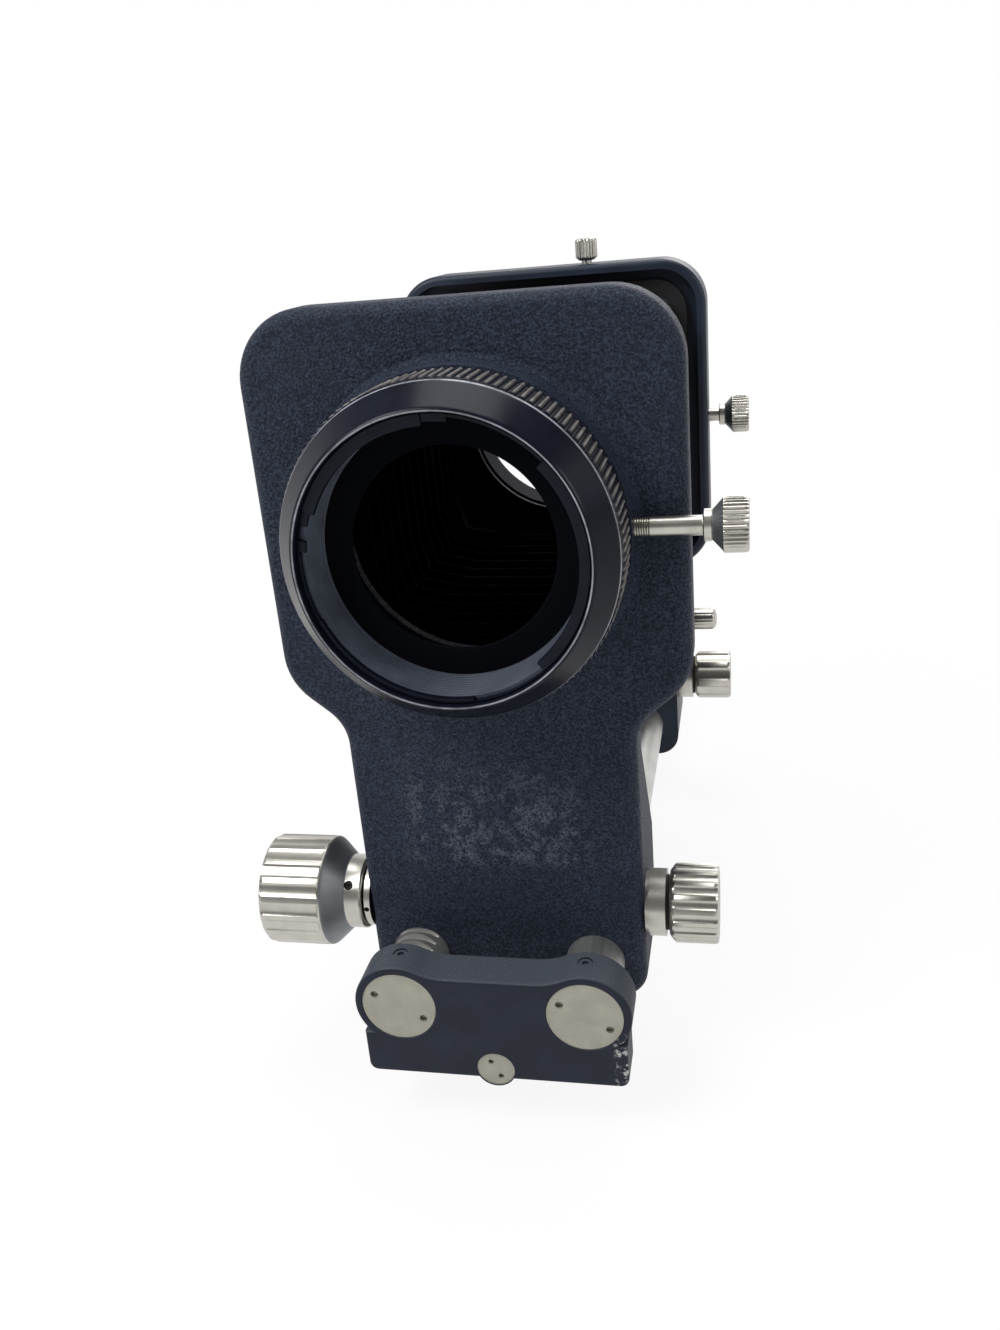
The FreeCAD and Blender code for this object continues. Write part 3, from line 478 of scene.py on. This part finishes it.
def turned(name, axis, centre, profile, sides, closed=False):
    """Turns a profile of (place, radius) in mm: a circle is extruded and scaled, station by station."""
    way = WAYS[axis]
    deselect()
    along, radius = profile[0]
    bpy.ops.mesh.primitive_circle_add(vertices=sides, radius=radius * MM,
                                      location=centre + way * along * MM,
                                      rotation=CIRCLE_TURN[axis])
    piece = bpy.context.object
    piece.name = name
    bpy.ops.object.transform_apply(location=True, rotation=True, scale=True)
    bpy.ops.object.mode_set(mode="EDIT")
    bpy.ops.mesh.select_mode(type="VERT")
    bpy.ops.mesh.select_all(action="SELECT")
    if not closed:
        bpy.ops.mesh.edge_face_add()
        bpy.ops.mesh.inset(thickness=radius * MM * 0.3)
        pick(piece, lambda point: radius_at(point, axis, centre) > radius * MM * 0.99)
    for station in profile[1:] + (profile[:1] if closed else []):
        bpy.ops.mesh.extrude_edges_move(TRANSFORM_OT_translate={"value": way * (station[0] - along) * MM})
        share = station[1] / radius
        bpy.ops.transform.resize(value=(share, share, share),
                                 center_override=centre + way * station[0] * MM)
        along, radius = station
    if not closed:
        bpy.ops.mesh.edge_face_add()
        bpy.ops.mesh.inset(thickness=radius * MM * 0.3)
    return piece


def press_grooves(piece, axis, centre, stations, count, sides, shape):
    """Presses equal grooves into a drum; shape gives the radius in mm across one groove, 0 to 1."""
    way = WAYS[axis]
    per_groove = sides // count
    step = 2 * math.pi / sides
    value_of = {"X": lambda s: (1, s, s), "Y": lambda s: (s, 1, s), "Z": lambda s: (s, s, 1)}[axis]
    for k in range(per_groove):
        limit = shape(k / per_groove) * MM
        for along, radius in stations:
            if radius * MM <= limit:
                continue

            def here(point):
                return (abs((point - centre).dot(way) - along * MM) < NEAR * 2
                        and abs(radius_at(point, axis, centre) - radius * MM) < NEAR
                        and round(turn_at(point, axis, centre) / step) % per_groove == k)

            if pick(piece, here):
                bpy.ops.transform.resize(value=value_of(limit / (radius * MM)), center_override=centre)


def scallop(radius, depth, share):
    """A round valley with a flat crest on each side; share is the valley's part of the pitch."""
    def at(turn):
        away = abs(turn - 0.5) * 2 / share
        return radius if away > 1 else radius - depth * math.sqrt(1 - away * away)
    return at


def tooth(radius, depth):
    """A straight-sided knurl tooth."""
    return lambda turn: radius - depth * (1 - abs(turn - 0.5) * 2)


def swept(name, centre, section, start, sweep):
    """Spins a section, given by its (place, radius) corners in mm, round a line along Y; degrees."""
    deselect()
    way = WAYS["Y"]
    turn = math.radians(start)
    out = Vector((math.cos(turn), 0, math.sin(turn)))
    (place0, radius0), (place1, radius1) = section
    bpy.ops.mesh.primitive_plane_add(size=MM, location=centre)
    piece = bpy.context.object
    piece.name = name
    bpy.ops.object.transform_apply(location=True, rotation=True, scale=True)
    bpy.ops.object.mode_set(mode="EDIT")
    mesh = bmesh.from_edit_mesh(piece.data)
    corners = ((place0, radius0), (place1, radius0), (place1, radius1), (place0, radius1))
    for loop, (place, radius) in zip(next(iter(mesh.faces)).loops, corners):
        loop.vert.co = centre + way * place * MM + out * radius * MM
    bmesh.update_edit_mesh(piece.data)
    bpy.ops.mesh.select_all(action="SELECT")
    steps = max(3, int(sweep / 3))
    bpy.ops.mesh.spin(steps=steps, angle=math.radians(sweep), center=centre, axis=way)
    return closed_up(piece)


def joined(name, parts):
    """Joins pieces into the first one."""
    deselect()
    for part in parts:
        part.select_set(True)
    bpy.context.view_layer.objects.active = parts[0]
    bpy.ops.object.join()
    parts[0].name = name
    return parts[0]


def second_finish(piece, material, test):
    """Gives a second material to the faces whose middle and normal pass a test."""
    piece.data.materials.append(material)
    for face in piece.data.polygons:
        if test(face.center, face.normal):
            face.material_index = len(piece.data.materials) - 1


def stand_in(piece, body, node):
    """Lets a piece ride on its body and stand for its frame node."""
    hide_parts(node)
    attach(piece, body)


def pin(name, spot, out, radius, length):
    """A round pin of some mm along a direction, with a rounded rim."""
    deselect()
    bpy.ops.mesh.primitive_cylinder_add(vertices=32, radius=radius * MM, depth=length * MM, location=spot,
                                        rotation=out.to_track_quat("Z", "Y").to_euler())
    round_pin = bpy.context.object
    round_pin.name = name
    bpy.ops.object.transform_apply(location=True, rotation=True, scale=True)
    softened(round_pin, 0.08)
    return round_pin


def drill(piece, spot, out, radius, length):
    """Bores a round hole into a piece, half its length deep from a spot on the surface."""
    bit = pin("bit", spot, out, radius, length)
    modified(piece, "BOOLEAN", operation="DIFFERENCE", solver="EXACT", object=bit)
    bpy.data.objects.remove(bit)


def grub_screw(name, spot, out, radius, length):
    """A pin whose outer end, at the spot, has a driving socket."""
    screw = pin(name, spot - out * length / 2 * MM, out, radius, length)
    drill(screw, spot, out, radius * 0.45, 1.0)
    return screw


def shaft_centre(end):
    """Where a cross shaft's axis meets the middle plane of the unit."""
    spot = middle(f"{end}_cross_shaft")
    return Vector((0, spot.y, spot.z))


# Pieces

class UNIT_OT_finishes(bpy.types.Operator):
    """Give the frame's own parts their finishes"""
    bl_idname = "bellows_unit.finishes"
    bl_label = "Finishes"

    def execute(self, context):
        names = {
            "front_standard": "baked_stipple_enamel", "front_end_block": "worn_smooth_enamel",
            "rear_end_block": "worn_smooth_enamel", "tripod_block": "worn_smooth_enamel",
            "rear_standard": "sprayed_satin_enamel", "camera_mount": "matt_anodised_mount",
            "left_rail": "ground_steel", "right_rail": "ground_steel", "lower_rod": "ground_steel",
            "rail_end_caps": "blasted_plated_steel", "rod_end_caps": "blasted_plated_steel",
            "end_block_set_screws": "blackened_steel", "tripod_socket_insert": "gear_brass",
            "tripod_clamp_pad": "gear_brass"}
        for end in ("front", "rear"):
            names.update({f"{end}_bellows_frame": "painted_sheet_steel", f"{end}_pinion": "gear_brass",
                          f"{end}_friction_washer": "pressed_fibre",
                          f"{end}_collar_set_screw": "blackened_steel",
                          f"{end}_cross_shaft": "bright_steel"})
        turned_parts = {"tripod_clamp_knob": nickel("tripod_clamp", "X", middle("tripod_clamp_knob"))}
        for end in ("front", "rear"):
            plate = nickel(f"{end}_bushes", "X", shaft_centre(end))
            turned_parts.update({f"{end}_left_bush": plate, f"{end}_right_bush": plate})
        for node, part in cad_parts.items():
            part.data.materials.clear()
            part.data.materials.append(turned_parts.get(node)
                                       or finish_named(names.get(node, "bright_steel")))
        return {"FINISHED"}


class UNIT_OT_lens_ring(bpy.types.Operator):
    """Model the knurled lens ring with its bevel and its rim, whose bright edge is painted: partly wear,
    partly a painted highlight
    """
    bl_idname = "bellows_unit.lens_ring"
    bl_label = "Lens ring"

    def execute(self, context):
        sizes = context.scene.unit_sizes
        sides = sizes.knurl_teeth * 4
        knurl = [(-5.6, 30.0), (-7.2, 30.0), (-14.1, 30.0), (-14.8, 29.78)]
        profile = [(3.6, 24.6), (3.6, 26.4), (-5.0, 26.4), (-5.0, 29.0), (-5.35, 29.5), *knurl,
                   (-15.3, 29.55), (-15.9, 29.36), (-16.15, 29.2), (-16.35, 29.05), (-20.2, 26.1),
                   (-20.55, 25.85), (-20.75, 25.6), (-20.8, 25.4), (-20.7, 25.2), (-20.45, 25.05),
                   (-20.1, 25.0), (-15.0, 25.0), (-15.0, 24.6)]
        ring = turned("lens_mount_ring", "Y", LENS_CENTRE, profile, sides, closed=True)
        press_grooves(ring, "Y", LENS_CENTRE, knurl, sizes.knurl_teeth, sides,
                      tooth(30.0, sizes.knurl_depth / MM))
        closed_up(ring, finish_named("turned_anodised_aluminium"), 28)
        second_finish(ring, finish_named("worn_anodised_knurl"),
                      lambda spot, normal: 5.2 * MM < LENS_CENTRE.y - spot.y < 15.0 * MM
                      and radius_at(spot, "Y", LENS_CENTRE) > 29.2 * MM)
        stand_in(ring, "front_mount", "front_mount_ring")
        return {"FINISHED"}


class UNIT_OT_lens_lugs(bpy.types.Operator):
    """Model the stepped bayonet ring: a thin ring with lugs of different reach, and small stops"""
    bl_idname = "bellows_unit.lens_lugs"
    bl_label = "Bayonet lugs"

    def execute(self, context):
        ring = turned("lens_bayonet_ring", "Y", LENS_CENTRE,
                      [(-18.2, 24.75), (-18.2, 25.0), (-19.5, 25.0), (-19.7, 24.75)], 240, closed=True)
        parts = [closed_up(ring)]
        # Start, sweep in degrees, inner radius and front face in mm
        lugs = ((92, 65, 22.8, -19.5), (82, 10, 23.4, -19.3), (-50, 92, 23.0, -19.5), (42, 40, 24.2, -19.4),
                (203, 75, 24.1, -19.4), (157, 6, 23.6, -19.1), (169, 5, 23.5, -19.1),
                (174, 29, 24.4, -19.2))
        for i, (start, sweep, inner, front) in enumerate(lugs):
            lug = swept(f"lug_{i}", LENS_CENTRE, ((-18.25, inner), (front, 24.9)), start, sweep)
            softened(lug, 0.15)
            parts.append(lug)
        lugs = joined("lens_bayonet_ring", parts)
        closed_up(lugs, finish_named("turned_anodised_aluminium"), 40)
        stand_in(lugs, "front_mount", "front_bayonet_ring")
        return {"FINISHED"}


class UNIT_OT_lens_funnel(bpy.types.Operator):
    """Model the grooved anti-reflection funnel and its throat plate"""
    bl_idname = "bellows_unit.lens_funnel"
    bl_label = "Grooved funnel"

    def execute(self, context):
        grooves = context.scene.unit_sizes.funnel_grooves
        front, back = (-18.2, 24.2), (-10.7, 23.3)
        wall = [(-18.2, 24.95), (-15.0, 24.95), (-15.0, 24.55), (-9.8, 24.55), (-9.8, 18.25), (-10.0, 18.1),
                (-10.4, 18.1), (-10.6, 18.3), (-10.6, 23.1), back]
        for i in range(grooves):
            share = (i + 0.5) / grooves
            place = back[0] + (front[0] - back[0]) * share
            radius = back[1] + (front[1] - back[1]) * share
            wall += [(place + 0.28, radius), (place + 0.1, radius + 0.26), (place - 0.1, radius + 0.26),
                     (place - 0.28, radius)]
        funnel = turned("lens_funnel", "Y", LENS_CENTRE, wall + [front], 192, closed=True)
        closed_up(funnel, finish_named("matt_anodised_funnel"), 25)
        second_finish(funnel, finish_named("flocked_black"),
                      lambda spot, normal: radius_at(spot, "Y", LENS_CENTRE) < 23.2 * MM
                      and spot.y > LENS_CENTRE.y - 10.65 * MM)
        stand_in(funnel, "front_mount", "front_throat_baffle")
        return {"FINISHED"}


def knurled_screw(name, axis, centre, profile, drum, ridges, depth, cone=None):
    """Turns a screw, presses its head's ridges, and dulls its cone."""
    sides = ridges * 6
    screw = turned(name, axis, centre, profile, sides)
    radius = max(r for _, r in drum)
    press_grooves(screw, axis, centre, drum, ridges, sides, scallop(radius, depth, 0.75))
    closed_up(screw, nickel(name, axis, centre), 32)
    if cone:
        low, high = cone
        second_finish(screw, coarse_nickel(name, axis, centre),
                      lambda spot, normal: low * MM < spot.x < high * MM and abs(normal.x) > 0.3)
    return screw


class UNIT_OT_clamp_screws(bpy.types.Operator):
    """Model the two mount thumbscrews: thread, polished stem, collar, cone and knurled head"""
    bl_idname = "bellows_unit.clamp_screws"
    bl_label = "Mount thumbscrews"

    def execute(self, context):
        ridges = context.scene.unit_sizes.head_ridges
        for name, node, body in (("lens_clamp_screw", "front_mount_screw", "front_thumbscrew"),
                                 ("camera_clamp_screw", "rear_mount_screw", "rear_thumbscrew")):
            spot = middle(node)
            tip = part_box(node)[0].x / MM
            profile = [(tip, 1.3), (tip + 0.3, 1.45)]
            for i in range(7):
                along = tip + 3.4 + i * 0.42
                profile += [(along, 1.74), (along + 0.14, 1.5), (along + 0.28, 1.74)]
            drum = [(45.5, 4.7), (45.75, 4.85), (46.6, 4.85), (48.9, 4.85), (49.35, 4.8), (49.65, 4.65)]
            profile += [(tip + 6.6, 1.75), (42.0, 1.75), (42.1, 2.0), (42.12, 2.65), (42.3, 2.8),
                        (43.5, 2.8), (43.65, 2.65), (43.75, 2.72), (45.3, 4.4), *drum, (49.8, 4.3)]
            screw = knurled_screw(name, "X", Vector((0, spot.y, spot.z)), profile, drum, ridges, 0.32,
                                  (43.7, 45.6))
            stand_in(screw, body, node)
        return {"FINISHED"}


class UNIT_OT_frame_screws(bpy.types.Operator):
    """Model the knurled screws on top of the rear frame and on the side of its neck"""
    bl_idname = "bellows_unit.frame_screws"
    bl_label = "Frame screws"

    def execute(self, context):
        spot = middle("top_frame_screw")
        centre = Vector((spot.x, spot.y, LENS_CENTRE.z))
        drum = [(41.2, 2.75), (41.5, 2.75), (44.8, 2.75), (45.1, 2.75)]
        profile = [(36.9, 1.2), (37.1, 1.35), (40.4, 1.35), (40.45, 1.9), (41.0, 2.55), *drum, (45.45, 2.5),
                   (45.6, 2.1)]
        top = knurled_screw("frame_top_screw", "Z", centre, profile, drum, 24, 0.2)
        stand_in(top, "frame_screw", "top_frame_screw")
        spot = middle("rear_neck_screw")
        centre = Vector((0, spot.y, spot.z))
        drum = [(33.2, 3.1), (38.7, 3.1)]
        profile = [(22.5, 1.2), (22.8, 1.45), (32.0, 1.45), (32.05, 2.2), (32.9, 2.95), *drum, (39.3, 2.98),
                   (39.8, 2.6), (40.15, 1.95), (40.35, 1.2)]
        neck = knurled_screw("neck_side_screw", "X", centre, profile, drum, 20, 0.14)
        stand_in(neck, "neck_screw", "rear_neck_screw")
        return {"FINISHED"}


class UNIT_OT_focus_knobs(bpy.types.Operator):
    """Model the two large focusing knobs: fluted drum, coarse cone, hub and its sunk screw"""
    bl_idname = "bellows_unit.focus_knobs"
    bl_label = "Focusing knobs"

    def execute(self, context):
        sizes = context.scene.unit_sizes
        flutes = 18
        sides = flutes * 14
        for end in ("front", "rear"):
            centre = shaft_centre(end)
            drum = [(-39.1, 11.7), (-51.0, 11.7), (-51.5, 11.62), (-51.85, 11.35)]
            profile = [(-30.6, 7.3), (-30.75, 7.65), (-31.0, 7.85), (-34.2, 7.85), (-34.45, 7.95),
                       (-37.8, 11.15), (-38.1, 11.4), (-38.4, 11.58), (-38.7, 11.65), *drum, (-52.0, 10.9),
                       (-51.9, 10.2), (-51.6, 9.8)]
            knob = turned(f"{end}_focus_knob", "X", centre, profile, sides)
            press_grooves(knob, "X", centre, drum, flutes, sides,
                          scallop(11.7, sizes.flute_depth / MM, 0.7))
            closed_up(knob, nickel(f"{end}_focus", "X", centre), 30)
            second_finish(knob, coarse_nickel(f"{end}_focus", "X", centre),
                          lambda spot, normal: -38.3 * MM < spot.x < -34.3 * MM)
            stand_in(knob, f"{end}_drive", f"{end}_drive_knob")
            # The hub's screw stands 40 degrees over the front, sunk below the hub's radius of 7.85 mm
            turn = math.radians(40)
            out = Vector((0, -math.cos(turn), math.sin(turn)))
            hub = centre + Vector((-33.3 * MM, 0, 0))
            drill(knob, hub + out * 7.85 * MM, out, 1.0, 2.8)
            screw = grub_screw(f"{end}_hub_screw", hub + out * 7.3 * MM, out, 0.97, 1.2)
            closed_up(screw, finish_named("blackened_steel"))
            stand_in(screw, f"{end}_drive", f"{end}_knob_set_screw")
        return {"FINISHED"}


class UNIT_OT_block_screws(bpy.types.Operator):
    """Model the four painted grub screws that hold the rails in the end blocks"""
    bl_idname = "bellows_unit.block_screws"
    bl_label = "End block screws"

    def execute(self, context):
        low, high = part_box("end_block_set_screws")
        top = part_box("front_end_block")[1].z - 0.3 * MM
        radius = 1.5
        spots = [Vector((x, y, top)) for x in (low.x + radius * MM, high.x - radius * MM)
                 for y in (low.y + radius * MM, high.y - radius * MM)]
        deep = (top - low.z) / MM
        screws = joined("block_grub_screws", [grub_screw(f"grub_{i}", spot, WAYS["Z"], radius - 0.03, deep)
                                              for i, spot in enumerate(spots)])
        closed_up(screws, finish_named("worn_smooth_enamel"))
        stand_in(screws, "bed", "end_block_set_screws")
        return {"FINISHED"}


class UNIT_OT_lock_knobs(bpy.types.Operator):
    """Model the fluted locking knobs on the right end of each cross shaft"""
    bl_idname = "bellows_unit.lock_knobs"
    bl_label = "Locking knobs"

    def execute(self, context):
        # End, radius, flutes, place of the outer face, flute depth, and the flute's part of the pitch
        knobs = (("front", 8.0, 18, 43.4, 0.5, 0.7), ("rear", 7.2, 8, 44.0, 0.7, 0.62))
        for end, radius, count, last, deep, wide in knobs:
            centre = shaft_centre(end)
            # Few flutes are wide, and need more sides each
            sides = count * (14 if count > 10 else 30)
            drum = [(34.3, radius - 0.5), (34.6, radius - 0.15), (34.95, radius), (last - 1.0, radius),
                    (last - 0.5, radius - 0.08), (last - 0.15, radius - 0.35)]
            profile = [(33.55, radius - 1.8), (33.6, radius - 1.4), *drum, (last, radius - 0.8),
                       (last - 0.1, radius - 1.4), (last - 0.3, radius - 1.8)]
            knob = turned(f"{end}_locking_knob", "X", centre, profile, sides)
            press_grooves(knob, "X", centre, drum, count, sides, scallop(radius, deep, wide))
            closed_up(knob, nickel(f"{end}_lock", "X", centre), 30)
            stand_in(knob, f"{end}_lock", f"{end}_lock_knob")
        return {"FINISHED"}


class UNIT_OT_bellows(bpy.types.Operator):
    """Model the pleated bag in two halves that meet at its middle fold"""
    bl_idname = "bellows_unit.bellows"
    bl_label = "Bellows"

    def execute(self, context):
        sizes = context.scene.unit_sizes
        low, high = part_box("bellows")
        folds = sizes.pleats * 2
        step = (high.y - low.y) / folds
        spans = (("bellows_front_half", 0, folds // 2, "front_carriage", "bed"),
                 ("bellows_rear_half", folds // 2, folds, "bed", "rear_carriage"))
        for name, first, last, body_a, body_b in spans:
            bag = self.fold_bag(name, low.y, step, first, last, sizes)
            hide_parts("bellows")
            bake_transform(bag)
        return {"FINISHED"}

    def fold_bag(self, name, start_y, step, first, last, sizes):
        """Extrudes a square with cut corners fold by fold, then thickens the cloth and rounds its folds."""
        deselect()

        # Half width and corner cut: odd stations are ridges, and even ones valleys
        def half_and_cut(i):
            return (sizes.ridge_half - 0.4 * MM, 9.0 * MM) if i % 2 else (sizes.valley_half, 2.5 * MM)

        half, cut = half_and_cut(first)
        bpy.ops.mesh.primitive_plane_add(size=2 * half, location=(0, start_y + step * first, LENS_CENTRE.z),
                                         rotation=(math.pi / 2, 0, 0))
        bag = bpy.context.object
        bag.name = name
        bpy.ops.object.transform_apply(location=True, rotation=True, scale=True)
        bpy.ops.object.mode_set(mode="EDIT")
        bpy.ops.mesh.select_mode(type="VERT")
        bpy.ops.mesh.select_all(action="SELECT")
        bpy.ops.mesh.bevel(offset=cut, affect="VERTICES")
        bpy.ops.mesh.select_all(action="SELECT")
        bpy.ops.mesh.delete(type="ONLY_FACE")
        bpy.ops.mesh.select_all(action="SELECT")
        for i in range(first + 1, last + 1):
            bpy.ops.mesh.extrude_edges_move(TRANSFORM_OT_translate={"value": (0, step, 0)})
            half, cut = half_and_cut(i)
            mesh = bmesh.from_edit_mesh(bag.data)
            for point in (p for p in mesh.verts if p.select):
                across, up = point.co.x, point.co.z - LENS_CENTRE.z
                wide = abs(across) > abs(up)
                point.co.x = math.copysign(half if wide else half - cut, across)
                point.co.z = LENS_CENTRE.z + math.copysign(half - cut if wide else half, up)
            bmesh.update_edit_mesh(bag.data)
        bpy.ops.mesh.select_all(action="SELECT")
        bpy.ops.mesh.normals_make_consistent(inside=False)
        bpy.ops.object.mode_set(mode="OBJECT")
        crease = 0.16 * step / MM
        softened(bag, crease, 3)
        bag.data.materials.append(finish_named("rubberised_cotton"))
        bag.data.materials.append(finish_named("flocked_black"))
        modified(bag, "SOLIDIFY", thickness=sizes.cloth, offset=-1.0, material_offset=1)
        modified(bag, "SUBSURF", levels=1, render_levels=1)
        fold = bag.data.attributes.new("fold", "FLOAT", "POINT")
        reach = sizes.ridge_half - sizes.valley_half
        for value, point in zip(fold.data, bag.data.vertices):
            out = max(abs(point.co.x), abs(point.co.z - LENS_CENTRE.z)) - sizes.valley_half
            value.value = max(0.0, min(1.0, out / reach))
        return closed_up(bag, angle=60)


class UNIT_OT_stage(bpy.types.Operator):
    """Set the camera, the soft lamps, the pale floor and the white surroundings"""
    bl_idname = "bellows_unit.stage"
    bl_label = "Stage"

    def execute(self, context):
        deselect()
        bpy.ops.object.camera_add()
        camera = bpy.context.object
        camera.name = "studio_camera"
        # Place, turn and focal length of the fitted view
        right, up = Vector((0.9772, 0.1954, -0.0838)), Vector((0.0054, 0.3712, 0.9289))
        turn = Matrix((right, up, right.cross(up))).transposed()
        camera.matrix_world = Matrix.Translation((0.04979, -0.26485, 0.17041)) @ turn.to_4x4()
        camera.data.sensor_fit = "HORIZONTAL"
        camera.data.sensor_width = 36
        camera.data.lens = 41.45
        camera.data.clip_start = 0.01
        context.scene.camera = camera

        bpy.ops.mesh.primitive_plane_add(size=40, location=(0, 0, -0.2 * MM))
        floor = bpy.context.object
        floor.name = "pale_floor"
        floor.data.materials.append(self.floor_paper(context))

        # Name, place, aimed at, size in metres and power in watts
        lamps = (("window_softbox", (-0.24, -0.26, 0.44), (0.0, -0.05, 0.11), 0.26, 2.05),
                 ("top_softbox", (0.05, 0.10, 0.85), (0, 0, 0.10), 0.5, 4.2),
                 ("right_softbox", (0.75, -0.25, 0.42), (0, -0.02, 0.10), 0.30, 1.5),
                 ("rear_softbox", (0.20, 0.75, 0.55), (0, 0.05, 0.10), 0.45, 2.0))
        for name, spot, target, size, power in lamps:
            bpy.ops.object.light_add(type="AREA", location=spot)
            lamp = bpy.context.object
            lamp.name = name
            lamp.data.shape = "SQUARE"
            lamp.data.size = size
            lamp.data.energy = power
            lamp.rotation_euler = (Vector(target) - Vector(spot)).to_track_quat("-Z", "Y").to_euler()
        self.surroundings(context)
        context.scene.view_settings.view_transform = "Standard"
        return {"FINISHED"}

    def seen(self, owner):
        """One for camera, glossy and transmission rays, none for diffuse ones."""
        path = add(owner, "LightPath")
        rays = add(owner, "Math", (path.outputs["Is Camera Ray"], path.outputs["Is Glossy Ray"]),
                   operation="MAXIMUM")
        return add(owner, "Math", (rays, path.outputs["Is Transmission Ray"]), operation="MAXIMUM")

    def floor_paper(self, context):
        """Matt white paper, white where it is seen, with a faint shadow round the unit."""
        paper, place = fresh("matt_white_paper")
        sheet = add(paper, "BsdfDiffuse", {"Color": context.scene.unit_colours.floor})
        glow = add(paper, "Emission", {"Color": (1, 1, 1, 1), "Strength": 1.0})
        away = add(paper, "VectorMath", (place,), operation="LENGTH").outputs["Value"]
        # The shadow fades between 0.1 and 0.4 m from the unit
        fade = add(paper, "MapRange", (away, 0.1, 0.4, 0.9, 1.0))
        share = add(paper, "Math", (self.seen(paper), fade), operation="MULTIPLY")
        add(paper, "OutputMaterial", {"Surface": add(paper, "MixShader", {0: share, 1: sheet, 2: glow})})
        return paper

    def surroundings(self, context):
        """A white backdrop behind the unit, seen and mirrored, and a dimmer room behind the camera."""
        world = bpy.data.worlds.new("studio_room")
        world.use_nodes = True
        world.node_tree.nodes.clear()
        context.scene.world = world
        way = add(world, "SeparateXYZ", {"Vector": add(world, "TexCoord").outputs["Generated"]})
        backdrop = add(world, "MapRange", (way.outputs["Y"], -0.1, 0.35, 0.22, 1.0))
        ceiling = add(world, "MapRange", (way.outputs["Z"], 0.35, 0.7, 1.0, 0.3))
        backdrop = add(world, "Math", (backdrop, ceiling), operation="MULTIPLY")
        strength = add(world, "Mix", {0: self.seen(world), 2: 0.21, 3: backdrop})
        camera = add(world, "LightPath").outputs["Is Camera Ray"]
        strength = add(world, "Math", (strength, camera), operation="MAXIMUM")
        room = add(world, "Background", {"Color": (1, 1, 1, 1), "Strength": strength})
        add(world, "OutputWorld", {"Surface": room})


STEPS = (UNIT_OT_finishes, UNIT_OT_lens_ring, UNIT_OT_lens_lugs, UNIT_OT_lens_funnel, UNIT_OT_clamp_screws,
         UNIT_OT_frame_screws, UNIT_OT_focus_knobs, UNIT_OT_block_screws, UNIT_OT_lock_knobs,
         UNIT_OT_bellows, UNIT_OT_stage)


class UNIT_PT_panel(bpy.types.Panel):
    """Lists the unit's sizes, colours and pieces"""
    bl_idname = "UNIT_PT_panel"
    bl_label = "Macro Bellows Unit"
    bl_space_type = "VIEW_3D"
    bl_region_type = "UI"
    bl_category = "Bellows Unit"

    def draw(self, context):
        for group in (context.scene.unit_sizes, context.scene.unit_colours):
            for name in group.__annotations__:
                self.layout.prop(group, name)
        for step in STEPS:
            self.layout.operator(step.bl_idname)


CLASSES = (BellowsUnitSizes, BellowsUnitColours, *STEPS, UNIT_PT_panel)


def register():
    for cls in CLASSES:
        bpy.utils.register_class(cls)
    bpy.types.Scene.unit_sizes = bpy.props.PointerProperty(type=BellowsUnitSizes)
    bpy.types.Scene.unit_colours = bpy.props.PointerProperty(type=BellowsUnitColours)


def unregister():
    del bpy.types.Scene.unit_colours
    del bpy.types.Scene.unit_sizes
    for cls in reversed(CLASSES):
        bpy.utils.unregister_class(cls)


def main():
    register()
    for step in STEPS:
        family, name = step.bl_idname.split(".")
        getattr(getattr(bpy.ops, family), name)()


if __name__ == "__main__":
    main()
